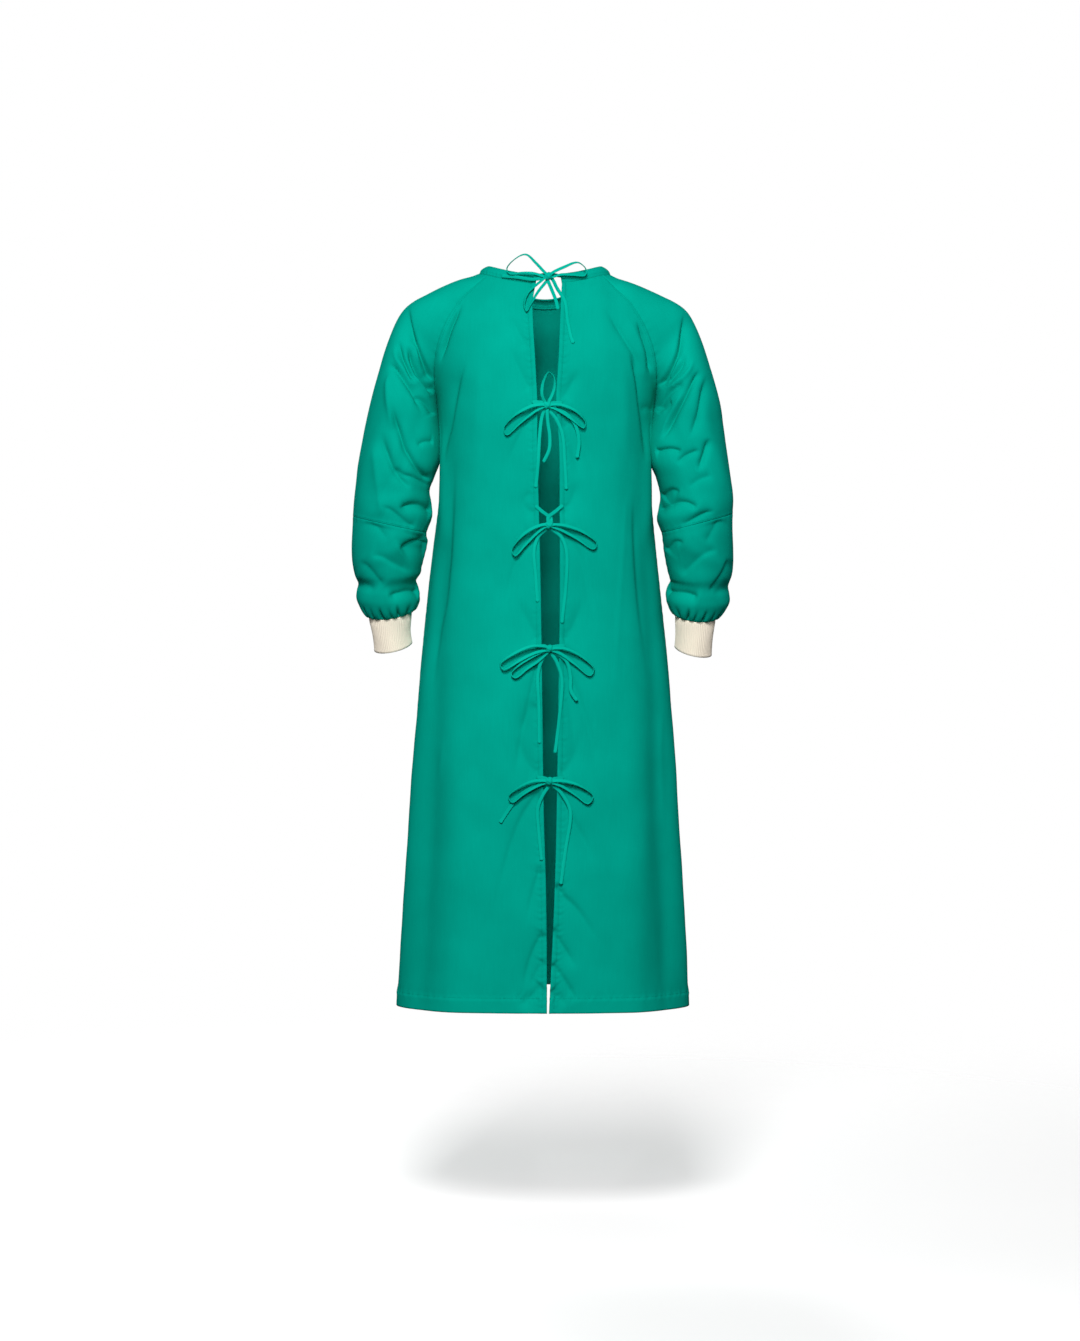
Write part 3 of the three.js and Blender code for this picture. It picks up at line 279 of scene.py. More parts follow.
def grid_object(name, points, quads, uv, material):
    """A closed mesh from points in millimetres, quads as rows of four and a UV in metres at each point."""
    mesh = bpy.data.meshes.new(name)
    mesh.vertices.add(len(points))
    mesh.vertices.foreach_set("co", (points * MM).astype(np.float32).ravel())
    mesh.loops.add(quads.size)
    mesh.loops.foreach_set("vertex_index", quads.astype(np.int32).ravel())
    mesh.polygons.add(len(quads))
    mesh.polygons.foreach_set("loop_start", np.arange(0, quads.size, 4, dtype=np.int32))
    mesh.polygons.foreach_set("loop_total", np.full(len(quads), 4, np.int32))
    mesh.update(calc_edges=True)
    layer = mesh.uv_layers.new(name="cloth")
    layer.data.foreach_set("uv", (uv[quads.ravel()] * MM).astype(np.float32).ravel())
    mesh.shade_smooth()
    mesh.materials.append(material)
    piece = bpy.data.objects.new(name, mesh)
    bpy.context.scene.collection.objects.link(piece)
    return piece


def wall_object(name, points, normals, thickness, sign, material, loop=False):
    """A closed wall: the grid set out and in by half its thickness, with rims. Its edges reach a little over
    the seams, by a step away from the row or column beside them."""
    rows, across = points.shape[:2]
    edges = [(np.s_[0], np.s_[1]), (np.s_[-1], np.s_[-2])]
    if not loop:
        edges += [(np.s_[:, 0], np.s_[:, 1]), (np.s_[:, -1], np.s_[:, -2])]
    steps = [points[edge] - points[beside] for edge, beside in edges]
    points = points.copy()
    for (edge, _), step in zip(edges, steps):
        points[edge] += SEAM_LAP * step / np.linalg.norm(step, axis=-1, keepdims=True)
    keep = across - 1 if loop else across
    layers = [(points + normals * thickness * k)[:, :keep].reshape(-1, 3) for k in (0.5, -0.5)]
    index = np.arange(2 * rows * keep).reshape(2, rows, keep)
    if loop:
        index = np.concatenate([index, index[..., :1]], -1)
    outer, inner = index
    grids = [(outer, False), (inner, True), (index[:, 0], True), (index[:, -1], False)]
    if not loop:
        grids += [(index[..., 0], False), (index[..., -1], True)]
    faces = np.concatenate([quads_of(grid, flip) for grid, flip in grids])
    uv = np.stack([run(points, 1), run(points, 0)], -1)[:, :keep].reshape(-1, 2)
    return grid_object(name, np.concatenate(layers), faces if sign > 0 else faces[:, ::-1],
                       np.tile(uv, (2, 1)), material)


def linear(code):
    """Linear colour of an sRGB hex code."""
    srgb = np.array([int(code[k:k + 2], 16) for k in (1, 3, 5)]) / 255
    return (*np.where(srgb <= 0.04045, srgb / 12.92, ((srgb + 0.055) / 1.055) ** 2.4), 1)


def node(tree, kind, inputs=(), **settings):
    """Adds a node with its settings. An input is a value, or another node and one of its outputs."""
    made = tree.nodes.new(kind)
    for name, value in settings.items():
        setattr(made, name, value)
    for name, value in dict(inputs).items():
        if isinstance(value, tuple) and isinstance(value[0], bpy.types.Node):
            tree.links.new(value[0].outputs[value[1]], made.inputs[name])
        else:
            made.inputs[name].default_value = value
    return made


# A wave texture repeats every pi / 10 of its units, so this over a pitch in metres is its scale.
WAVE_SCALE, WEAVE_PITCH = 0.3142, 0.0009


def fresh(name):
    """A new material and its empty node tree."""
    material = bpy.data.materials.new(name)
    material.use_nodes = True
    material.node_tree.nodes.clear()
    return material, material.node_tree


def blend(tree, share, dark, light):
    """The output of a node that mixes two hex colours by a share."""
    return node(tree, "ShaderNodeMix", {0: share, 6: linear(dark), 7: linear(light)}, data_type="RGBA"), 2


def woven(name, dark, light, roughness, sheen):
    """Plain-weave cloth: two crossing rows of threads as a bump, drawn 0.9 mm apart because the real 0.3 mm
    would not show, with slubs along the threads and a cloudy shift between two close colours."""
    material, tree = fresh(name)
    place = node(tree, "ShaderNodeUVMap", uv_map="cloth")
    body = node(tree, "ShaderNodeTexCoord")
    threads = {"Vector": (place, "UV"), "Scale": WAVE_SCALE / WEAVE_PITCH, "Distortion": 0.6, "Detail": 1.0,
               "Detail Scale": 0.4}
    warp, weft = (node(tree, "ShaderNodeTexWave", threads, bands_direction=way) for way in ("X", "Y"))
    weave = node(tree, "ShaderNodeMath", {0: (warp, "Fac"), 1: (weft, "Fac")}, operation="MULTIPLY")
    stretch = node(tree, "ShaderNodeMapping", {"Vector": (place, "UV"), "Scale": (420.0, 26.0, 1.0)})
    slub = node(tree, "ShaderNodeTexNoise", {"Vector": (stretch, "Vector"), "Scale": 1.0, "Detail": 2.0})
    cloud = node(tree, "ShaderNodeTexNoise", {"Vector": (body, "Object"), "Scale": 11.0, "Detail": 3.0})
    tone = node(tree, "ShaderNodeMath", {0: (slub, "Fac"), 1: 0.3, 2: (cloud, "Fac")},
                operation="MULTIPLY_ADD")
    share = node(tree, "ShaderNodeMapRange", {"Value": (tone, "Value"), "From Min": 0.4, "From Max": 0.9})
    bump = node(tree, "ShaderNodeBump", {"Height": (weave, "Value"), "Strength": 0.25, "Distance": 0.00012})
    cloth = node(tree, "ShaderNodeBsdfPrincipled",
                 {"Base Color": blend(tree, (share, "Result"), dark, light), "Roughness": roughness,
                  "Specular IOR Level": 0.0, "Sheen Weight": sheen, "Sheen Roughness": 0.45,
                  "Sheen Tint": linear("#40d8c0"), "Normal": (bump, "Normal")})
    node(tree, "ShaderNodeOutputMaterial", {"Surface": (cloth, "BSDF")})
    return material


# Green poly-cotton, smooth and closely woven, with a faint satin sheen.
gown_cloth = woven("green poly-cotton", "#019380", "#019e8a", 0.62, 0.03)

# Creases: (x, drop) points, half width, depth, lean, and the shares over which they fade in and out.
BACK_CREASES = {
    "left": [
        ([(131, 62), (144, 85), (153, 106), (162, 134), (167, 162)], 3.2, 12, 0.3, 0.3, 0.3),
        ([(118, 146), (131, 178), (138, 203), (148, 253), (156, 290), (158, 330)], 13, 8.5, -0.5, 0.4, 0.4),
        ([(104, 146), (103, 205), (108, 276), (114, 371)], 16, -4.5, 0, 0.3, 0.5),
        ([(140, 300), (146, 400), (154, 520), (168, 603), (176, 700)], 12, 6.5, -0.5, 0.4, 0.4),
        ([(148, 456), (161, 551), (169, 604)], 3.5, -1.2, 0, 0.3, 0.3),
        ([(160, 747), (167, 832)], 4, -1.2, 0, 0.4, 0.4),
        ([(57, 82), (43, 110), (26, 140)], 7.2, 3.9, 0, 0.4, 0.2),
        ([(60, 130), (43, 172), (24, 206)], 8.4, 4.7, 0.32, 0.4, 0.1),
        ([(16, 234), (36, 262), (58, 310), (66, 370)], 10.8, 5.3, 0.32, 0.1, 0.6),
        ([(14, 356), (34, 380), (14, 404)], 6, 2.7, 0, 0.3, 0.2),
        ([(16, 424), (40, 452), (62, 520), (68, 580)], 12, 5.9, 0.32, 0.1, 0.6),
        ([(12, 600), (28, 566), (52, 520)], 8.4, 4.3, 0, 0.1, 0.5),
        ([(12, 620), (30, 700), (46, 780), (52, 850)], 12, 6.8, 0.32, 0.1, 0.5),
        ([(12, 690), (32, 721), (46, 750)], 8.4, 3.6, 0, 0.2, 0.5),
        ([(10, 806), (32, 780), (56, 720)], 9.6, 3.9, 0, 0.1, 0.5),
        ([(8, 824), (44, 880), (72, 970), (92, 1060)], 14.4, 7.4, 0.32, 0.1, 0.5),
        ([(9, 945), (22, 990), (34, 1045)], 11.8, 5.5, 0.35, 0.15, 0.5),
        ([(3, 1046), (19, 1074), (31, 1110), (37, 1152)], 10.1, 7, 0.35, 0.1, 0.4),
        ([(2, 1092), (16, 1112), (28, 1140)], 8.4, 4.5, 0.35, 0.1, 0.4),
        ([(3, 1130), (25, 1152), (44, 1166)], 8.4, 4.9, 0, 0.1, 0.4)],
    "right": [
        ([(-94, 68), (-113, 97), (-128, 121), (-144, 147), (-154, 174)], 4.5, 7.5, -0.3, 0.35, 0.3),
        ([(-128, 84), (-146, 118), (-158, 156), (-161, 190)], 6, -3, 0, 0.3, 0.3),
        ([(-144, 91), (-157, 118), (-166, 148), (-169, 178)], 3.2, 12, 0.2, 0.3, 0.25),
        ([(-134, 140), (-144, 182), (-149, 220), (-156, 276), (-158, 320)], 14, 11, 0.5, 0.2, 0.4),
        ([(-122, 150), (-126, 210), (-128, 280), (-124, 350)], 14, -3.2, 0, 0.3, 0.5),
        ([(-178, 236), (-166, 230), (-158, 240)], 6, 3.5, -0.3, 0.2, 0.4),
        ([(-131, 342), (-124, 418), (-118, 513), (-111, 618), (-108, 690)], 3.5, -1.5, 0.48, 0.3, 0.3),
        ([(-138, 360), (-142, 450), (-150, 560), (-164, 680)], 13, 6.5, 0.4, 0.3, 0.5),
        ([(-186, 690), (-183, 780), (-190, 917)], 4, -1.2, 0, 0.4, 0.4),
        ([(-56, 167), (-42, 193), (-28, 216)], 7.2, 4.4, 0, 0.5, 0.1),
        ([(-26, 234), (-52, 262), (-78, 322), (-92, 372)], 10.8, 4.7, -0.32, 0.1, 0.6),
        ([(-28, 246), (-46, 300), (-56, 356)], 8.4, 4.3, 0, 0.1, 0.5),
        ([(-26, 404), (-44, 372), (-52, 340)], 8.4, 3.6, 0, 0.1, 0.5),
        ([(-28, 424), (-56, 460), (-74, 540), (-82, 600)], 12, 4.7, -0.32, 0.1, 0.6),
        ([(-28, 598), (-48, 566), (-62, 520)], 8.4, 3.9, 0, 0.1, 0.5),
        ([(-26, 618), (-54, 680), (-78, 760), (-86, 830)], 12, 5.9, -0.32, 0.1, 0.5),
        ([(-24, 640), (-42, 720), (-48, 790)], 8.4, 3.6, 0, 0.2, 0.5),
        ([(-24, 806), (-44, 780), (-66, 720)], 9.6, 3.6, 0, 0.1, 0.5),
        ([(-22, 824), (-44, 872), (-66, 912), (-80, 960)], 9.6, 5.9, -0.32, 0.1, 0.5),
        ([(-18, 972), (-30, 992), (-51, 1012), (-75, 1048), (-93, 1086)], 10.1, 7.7, -0.35, 0.1, 0.5),
        ([(-10, 1042), (-22, 1060), (-38, 1084), (-52, 1110)], 8.4, 7.7, -0.35, 0.1, 0.4),
        ([(-10, 1096), (-24, 1112), (-38, 1133), (-55, 1160)], 8.4, 7.7, -0.35, 0.1, 0.3),
        ([(-8, 1138), (-22, 1152), (-36, 1164)], 8.4, 4.9, 0, 0.1, 0.4)]}
FRONT_CREASES = [
    ([(150, 120), (140, 180), (112, 262)], 8, 9, 0.31, 0.3, 0.5),
    ([(164, 150), (158, 220), (138, 330)], 9, 9.6, 0.23, 0.3, 0.5),
    ([(-148, 122), (-136, 190), (-106, 276)], 8, 8.2, -0.31, 0.3, 0.5),
    ([(-164, 154), (-160, 226), (-142, 318)], 9, 9.6, -0.23, 0.3, 0.5),
    ([(126, 108), (104, 160), (70, 205)], 7, 5.7, 0.23, 0.3, 0.5),
    ([(-122, 112), (-98, 170), (-72, 224)], 7, 6.3, -0.23, 0.3, 0.5),
    ([(70, 84), (62, 150), (44, 250)], 12, 5.1, 0, 0.3, 0.5),
    ([(-74, 86), (-62, 160), (-50, 240)], 11, 4.7, 0, 0.3, 0.5),
    ([(168, 300), (150, 380), (140, 500), (146, 640)], 13.8, 8.2, 0.31, 0.3, 0.45),
    ([(-168, 310), (-148, 400), (-138, 520), (-140, 660)], 13.8, 7.6, -0.31, 0.3, 0.45),
    ([(96, 380), (104, 600), (108, 800), (116, 1000)], 18.4, 8.2, 0.31, 0.3, 0.45),
    ([(-40, 420), (-46, 640), (-52, 860), (-60, 1040)], 18.4, 7.1, -0.31, 0.3, 0.45),
    ([(30, 560), (24, 800), (14, 1050)], 17.2, 6.3, 0.31, 0.35, 0.45),
    ([(-112, 520), (-124, 760), (-136, 1020)], 17.2, 7.6, 0.31, 0.35, 0.45),
    ([(150, 640), (164, 860), (176, 1090)], 16.1, 8.2, -0.31, 0.35, 0.45),
    ([(-170, 700), (-184, 900), (-196, 1100)], 16.1, 7.1, 0.31, 0.35, 0.45),
    ([(60, 880), (70, 1020), (84, 1140)], 11.5, 5.1, 0.16, 0.4, 0.45),
    ([(-20, 940), (-18, 1050), (-24, 1150)], 10.3, 4.7, -0.16, 0.4, 0.45)]


def dress(piece, slot, *solids):
    """Puts a piece in the place of its solids on the body."""
    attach(piece, "root")
    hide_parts(*solids)


def sections_apart(sections):
    """How far along the cloth each section lies. The yoke's rows are evenly apart, as on both sides of a
    raglan seam."""
    apart = np.linalg.norm(np.diff(sections, axis=0), axis=-1).mean(-1)
    apart[:YOKE_ROWS] = YOKE_STEP
    return np.concatenate([[0], np.cumsum(apart)])


def laid(sections, steps, t, folds, side, first=0, last=-1):
    """A panel through its sections from the first to the last, in steps along the cloth, with the cut's
    largest folds. Also its normals."""
    apart = sections_apart(sections)
    points = settle(through(apart, sections, apart[first] + steps * (apart[last] - apart[first])))
    points = points + outward(points, side) * large_folds(points, t, folds)[..., None]
    return points, outward(points, side)


def raised(points, normals, lift, side):
    """A panel moved out along its normals by a lift, and its new normals."""
    points = points + normals * lift[..., None]
    return points, outward(points, side)


stitch_lines = []


def stitch_line(points, normals, distance, edge, keep):
    """Adds to the sewing the line that keeps a distance from a panel's first or last column or its foot, over
    the stretch of that edge which is kept."""
    grid = np.concatenate([points, normals], -1)
    grid = (np.swapaxes(grid, 0, 1) if edge == "foot" else grid)[keep]
    if edge != "first":
        grid = grid[:, ::-1]
    reach = run(grid[..., :3], 1)
    row, past = np.arange(len(grid)), (reach < distance).sum(1)
    before, after = (row, past - 1), (row, past)
    share = (distance - reach[before]) / (reach[after] - reach[before])
    found = grid[before] + share[:, None] * (grid[after] - grid[before])
    stitch_lines.append((found[:, :3], found[:, 3:]))


for name, side in (("left", 1), ("right", -1)):
    t = spread(98, 0.55)
    points, normals = laid(back_sections(side, t), spread(372, 0.2), t, BACK_FOLDS, side)
    across, down = run(points, 1), run(points, 0)
    to_seam, to_hem = across[:, -1:] - across, down[-1:] - down
    calm = smooth(0, SEAM_CALM, to_seam)
    lift = creases(points, normals, BACK_CREASES[name], 1) + slack(points, side)
    lift = lift * calm * smooth(0, TOP_CALM, down) + seam(to_seam, down) + seam(down, across) \
        + sewn(across, down, EDGE_TURNING, side, 0.6) + sewn(to_hem, across, HEM_TURNING, 2 + side, calm)
    points, normals = raised(points, normals, lift, side)
    piece = wall_object("back_panel_" + name, points, normals, CLOTH_WALL, side, gown_cloth)
    dress(piece, "gown_cloth", "back_" + name)
    stitch_line(points, normals, EDGE_TURNING - STITCH_IN, "first", np.s_[2:-2])
    stitch_line(points, normals, HEM_TURNING - STITCH_IN, "foot", np.s_[3:-2])
    # The raglan seam and the top of the side seam.
    stitch_line(points, normals, RAGLAN_STITCH_IN, "last", np.s_[2:105])

t = spread(144, 0.3)
points, normals = laid(front_sections(t), spread(220, 0.3), t, FRONT_FOLDS, -1)
across, down = run(points, 1), run(points, 0)
to_seam, to_hem = np.minimum(across, across[:, -1:] - across), down[-1:] - down
calm = smooth(0, SEAM_CALM, to_seam)
lift = creases(points, normals, FRONT_CREASES, -1) + slack(points, 4)
lift = lift * calm * smooth(0, TOP_CALM, down) + seam(to_seam, down) + seam(down, across) \
    + sewn(to_hem, across, HEM_TURNING, 2, calm)
points, normals = raised(points, normals, lift, -1)
piece = wall_object("front_panel", points, normals, CLOTH_WALL, -1, gown_cloth)
dress(piece, "gown_cloth", "front")
stitch_line(points, normals, HEM_TURNING - STITCH_IN, "foot", np.s_[3:-3])


# Sleeves. Each is a raglan upper sleeve that runs up to the neck and a forearm panel sewn to it below
# the elbow, of the same cloth, closed by an underarm seam. The end is gathered onto the cuff.
NECK_SEAM = {"half": 106, "back": 78, "front": 88, "back_drop": 32, "side_drop": 10, "front_drop": 62}
BACK_SEAM_TURN, FRONT_SEAM_TURN = 60, 128
UPPER_ROWS, FOREARM_ROWS = 8, 9
FOREARM_SEAM_ROW, CUFF_ROW = 6, 13
ARMPIT_EASE, WRIST_TILT = 0.5, 14
GATHERS, GATHER_DEPTH, GATHER_RUN, GATHER_PEAK = 17, 8, 32, 6
SLEEVE_CALM, SEAM_STITCH_IN = 10, 3.5
HIDDEN_SHARE, HIDDEN_DROP = 0.98, 9
SHOULDER = columns(
    "s x y drop turn",
    (0, 106, 0, 10, 112), (0.111, 135, 0, 20, 112), (0.222, 163, 0, 31, 111), (0.333, 188, 1, 43, 109),
    (0.444, 208, 2, 54, 105), (0.555, 225, 3, 69, 99), (0.666, 238, 4, 90, 88), (0.777, 253, 5, 126, 53),
    (0.888, 267, 6, 172, 25), (1, 280, 6, 219, 0))
TUBE_COLUMNS = "row x_in drop_in x_out drop_out y deep"
SLEEVES = {
    "left": columns(
        TUBE_COLUMNS,
        (0, 174, 218, 280, 219, 3, 76), (1, 169, 262, 290, 266, 6, 74), (2, 167, 303, 298.5, 312, 9, 71),
        (3, 178, 338, 303, 348, 10, 68), (4, 187, 366, 305.5, 370, 10, 64), (5, 180, 392, 307, 385, 9, 65),
        (6, 191, 428, 308.5, 402, 6, 61), (7, 189.5, 447, 310, 430, 2, 62), (8, 198, 476, 311, 464, -6, 59),
        (9, 201, 492, 307, 493, -12, 57), (10, 209, 507, 300.6, 511, -16, 51),
        (11, 202.5, 525, 304.5, 526, -20, 53), (12, 206, 541, 301, 543, -24, 48),
        (13, 216, 553.5, 284.8, 563, -27, 35)),
    "right": columns(
        TUBE_COLUMNS,
        (0, 174, 218, 277.5, 219, 3, 76), (1, 168, 262, 286, 266, 6, 74), (2, 166, 305, 293, 308, 9, 71),
        (3, 179, 340, 298.5, 346, 10, 68), (4, 186.5, 378, 301.5, 368, 10, 64),
        (5, 179.5, 400, 302, 382, 9, 65), (6, 188, 428, 301.5, 398, 6, 61),
        (7, 190.5, 445, 301.5, 434, 2, 62), (8, 194, 470, 303, 470, -6, 59),
        (9, 201, 499, 301.5, 494, -12, 57), (10, 203, 508, 295, 515, -16, 52),
        (11, 195.5, 526, 298.5, 532, -20, 53), (12, 200, 543, 295, 547, -24, 48),
        (13, 211.5, 560, 275.5, 566, -27, 34))}
SLEEVE_FOLDS = columns(
    FOLD_COLUMNS,
    (0.2, 120, 0.46, 400, 17, 2.5), (0.1, 190, 0.34, 420, 15, -2.5), (0.8, 150, 0.58, 400, 18, 4),
    (0.05, 350, 0.4, 410, 12, 2.2), (0.95, 345, 0.62, 405, 12, 4), (0.04, 420, 0.45, 500, 13, 2.2),
    (0.96, 425, 0.55, 495, 13, 4))
SLEEVE_CREASES = {
    "left": [
        ([(217, 60), (214, 93), (207, 118), (197, 143), (186, 167), (178, 186)], 5, 15.7, -0.6, 0.3, 0.12),
        ([(216, 124), (206, 133), (202, 149), (193, 166)], 2.5, -5.4, 0, 0.3, 0.4),
        ([(219, 128), (212, 154), (202, 172), (189, 191), (180, 205)], 3, 13.9, 0, 0.2, 0.12),
        ([(225, 137), (217, 158), (207, 179), (195, 196), (182, 217)], 2.5, -5.4, 0, 0.3, 0.2),
        ([(234, 119), (230, 144), (221, 161), (211, 178), (203, 186)], 3.5, 10.9, 0, 0.3, 0.3),
        ([(242, 124), (237, 149), (224, 168), (212, 189), (202, 191)], 2.5, -4.3, 0, 0.3, 0.3),
        ([(250, 158), (231, 178), (217, 195), (205, 214), (194, 244)], 4, 13, 0.3, 0.15, 0.35),
        ([(206, 210), (194, 215), (184, 225), (176, 240)], 4.5, 9.4, -0.56, 0.2, 0.1),
        ([(246, 168), (249, 191), (248, 219), (244, 247), (242, 268)], 4, -5.4, 0, 0.3, 0.3),
        ([(245, 216), (238, 247), (227, 277), (219, 298), (208, 316), (196, 331), (182, 344)],
         4, 14.8, -0.3, 0.25, 0.08),
        ([(204, 292), (192, 285), (178, 284)], 4.5, 6.2, 0.4, 0.3, 0.1),
        ([(260, 266), (256, 293), (247, 317), (237, 336), (224, 350), (212, 359)], 4.5, 11.9, 0.3, 0.3, 0.3),
        ([(240, 323), (225, 334), (208, 340), (184, 352)], 4.5, 6.2, -0.32, 0.2, 0.1),
        ([(234, 389), (212, 382), (195, 382), (178, 391)], 7, 13, -0.35, 0.2, 0.05),
        ([(262, 382), (245, 390), (231, 401), (215, 414), (205, 419)], 6.9, 5.1, -0.32, 0.2, 0.2),
        ([(272, 280), (270, 317), (265, 359), (261, 402)], 6.5, -5.4, 0.2, 0.3, 0.2)],
    "right": [
        ([(-221, 74), (-217, 107), (-211, 137), (-202, 160), (-192, 178), (-180, 194)],
         5, 15.7, 0.6, 0.3, 0.12),
        ([(-215, 146), (-209, 161), (-199, 178), (-194, 188)], 2.5, -5.8, 0, 0.3, 0.3),
        ([(-226, 140), (-217, 163), (-202, 180), (-193, 187)], 3.5, 6.2, 0, 0.3, 0.2),
        ([(-238, 150), (-226, 174), (-208, 190), (-190, 200)], 2.5, -5.4, 0, 0.3, 0.3),
        ([(-222, 187), (-203, 197), (-188, 212), (-177, 230)], 5, 10, 0.56, 0.2, 0.1),
        ([(-203, 222), (-191, 227), (-180, 237)], 4, 7.8, -0.48, 0.2, 0.1),
        ([(-220, 202), (-203, 233), (-182, 275)], 3, -4.7, 0, 0.3, 0.3),
        ([(-249, 169), (-231, 192), (-214, 223), (-200, 249), (-185, 283)], 4, 14.8, 0.3, 0.15, 0.2),
        ([(-258, 175), (-250, 209), (-241, 244), (-227, 281)], 5, 10.9, 0.3, 0.3, 0.3),
        ([(-218, 298), (-200, 293), (-176, 296)], 4.5, 9.4, 0.48, 0.2, 0.05),
        ([(-247, 295), (-222, 305), (-207, 319)], 4, 6.8, 0.24, 0.2, 0.3),
        ([(-262, 276), (-255, 303), (-243, 332)], 4, 11.9, -0.3, 0.3, 0.3),
        ([(-268, 337), (-245, 345), (-226, 359)], 6.9, 4.3, -0.24, 0.2, 0.3),
        ([(-216, 362), (-200, 358), (-185, 368)], 8, 6.9, 0.48, 0.25, 0.05),
        ([(-243, 391), (-228, 382), (-212, 380), (-197, 384), (-180, 393)], 4.5, 9, -0.16, 0.15, 0.1),
        ([(-272, 393), (-249, 402), (-231, 413), (-218, 428)], 5, 8, -0.4, 0.2, 0.25)]}
FOREARM_CREASES = {
    "left": [
        ([(283, 403), (265, 424), (249, 443)], 8.4, 4.2, 0.17, 0.15, 0.4),
        ([(233, 456), (216, 446), (193, 434)], 9, 13, -0.3, 0.25, 0.05),
        ([(228, 458), (208, 454), (190, 456)], 10.8, 4.2, 0, 0.3, 0.05),
        ([(279, 465), (259, 470), (242, 480), (212, 494)], 9.6, 4.7, 0.42, 0.2, 0.2),
        ([(298, 470), (280, 485), (268, 499), (255, 513)], 8.4, 5.1, -0.26, 0.2, 0.2),
        ([(254, 530), (233, 523), (216, 519), (203, 520)], 7, 12, -0.3, 0.2, 0.05),
        ([(304, 509), (286, 514), (268, 521)], 7.2, 4.2, 0, 0.1, 0.4)],
    "right": [
        ([(-278, 401), (-266, 424), (-253, 447)], 8.4, 4.7, 0.17, 0.15, 0.3),
        ([(-223, 445), (-207, 441), (-192, 456)], 7.2, 5.4, 0.34, 0.25, 0.1),
        ([(-279, 456), (-256, 464), (-235, 482), (-218, 500)], 9.6, 4.7, -0.42, 0.2, 0.2),
        ([(-293, 466), (-284, 489), (-270, 510), (-260, 522)], 10.8, 5.4, 0.51, 0.2, 0.2),
        ([(-248, 531), (-224, 523), (-196, 519)], 7, 12, 0.3, 0.2, 0.05),
        ([(-298, 514), (-284, 521), (-268, 529)], 7.2, 3.8, 0, 0.1, 0.4)]}


def neck_point(ring, turn):
    """Points of a neck ring, by degrees from centre back by the left side to centre front."""
    across, along = np.sin(np.radians(turn)), np.cos(np.radians(turn))
    depth = np.where(along > 0, ring["back"], ring["front"])
    centre = np.where(along > 0, ring["back_drop"], ring["front_drop"])
    return np.stack([ring["half"] * across, depth * along,
                     -(ring["side_drop"] + (centre - ring["side_drop"]) * along**2)], -1)


def oval(middle, outer, deep, deep_direction, start, t):
    """An oval section through its outer point: it starts and ends at an angle off the middle's side."""
    to_outer = outer - middle
    half = np.linalg.norm(to_outer) / (1 + math.cos(start))
    angle = (start + (2 * np.pi - 2 * start) * t)[:, None]
    return outer - to_outer / np.linalg.norm(to_outer) * half * (1 + np.cos(angle)) \
        + deep_direction * deep * np.sin(angle)


def read_off(table, where):
    """Every other column of a table, at a place in its first one."""
    first, *names = table
    return [float(through(table[first], table[name], where)) for name in names]


def raglan_section(s, width, t):
    """A raglan sleeve section from its back seam over the shoulder to its front seam."""
    grow = 1 + (width / BACK_SEAM["x"][-1] - 1) * s**3
    ends = []
    for table in (BACK_SEAM, FRONT_SEAM):
        x, y, drop = read_off(table, s)
        ends.append(np.array([x * grow + ARMPIT_EASE * s**4, y, -drop]))
    x, y, drop, turn = read_off(SHOULDER, s)
    between = ends[0] - ends[1]
    wide = np.linalg.norm(between)
    start = math.radians(turn)
    return oval((ends[0] + ends[1]) / 2, np.array([x, y, -drop]), wide / 2 / math.sin(start), between / wide,
                start, t)


def tube_section(table, row, t, tilt):
    """A section of sleeve or cuff below the underarm, dipping to the back by its tilt in degrees."""
    x_in, drop_in, x_out, drop_out, y, deep = read_off(table, row)
    direction = np.array([0, math.cos(math.radians(tilt)), -math.sin(math.radians(tilt))])
    return oval(np.array([x_in, y, -drop_in]), np.array([x_out, y, -drop_out]), deep, direction, 0, t)


def sleeve_sections(side, table, t):
    """Sections from the neck edge over the raglan rows and down the sleeve to the cuff."""
    width = BODY["left" if side > 0 else "right"][0]
    sections = [neck_point(NECK_SEAM, BACK_SEAM_TURN + (FRONT_SEAM_TURN - BACK_SEAM_TURN) * t)]
    sections += [raglan_section(i / YOKE_ROWS, width, t) for i in range(1, YOKE_ROWS)]
    for i in range(UPPER_ROWS + FOREARM_ROWS + 1):
        upper, lower = min(i, UPPER_ROWS) / UPPER_ROWS, max(i - UPPER_ROWS, 0) / FOREARM_ROWS
        row = FOREARM_SEAM_ROW * upper + (CUFF_ROW - FOREARM_SEAM_ROW) * lower
        section = tube_section(table, row, t, WRIST_TILT * smooth(FOREARM_SEAM_ROW, CUFF_ROW, row))
        section[:, 0] += (width + ARMPIT_EASE - table["x_in"][0]) * (1 - smooth(0, 2, row))
        sections.append(section)
    return np.array(sections) * (side, 1, 1)


def toward_back(count, ease):
    """Steps round a sleeve from 0 to 1 that lie closer on its back: u - ease sin(pi u) / pi."""
    u = np.linspace(0, 1, count + 1)
    return u - ease * np.sin(np.pi * u) / np.pi


def gathers(t, height):
    """Tucks at the sleeve's end, narrow and deep between round bulges: -(0.5 + 0.5 cos)^2.5 round the tube,
    uneven in depth and slant, deepest a little above the cuff."""
    rise = smooth(0, GATHER_PEAK, height) * (1 - smooth(GATHER_PEAK, GATHER_RUN, height))
    uneven = 1 - 0.3 * (1 + np.sin(1.7 * 2 * GATHERS * t))
    drift = 0.6 * np.sin(2 * np.pi * 5 * t) + height / 14 * np.sin(2 * np.pi * 3 * t + 1)
    tuck = (0.5 + 0.5 * np.cos(2 * np.pi * GATHERS * t + drift)) ** 2.5
    return GATHER_DEPTH * rise * (0.35 - uneven * tuck)


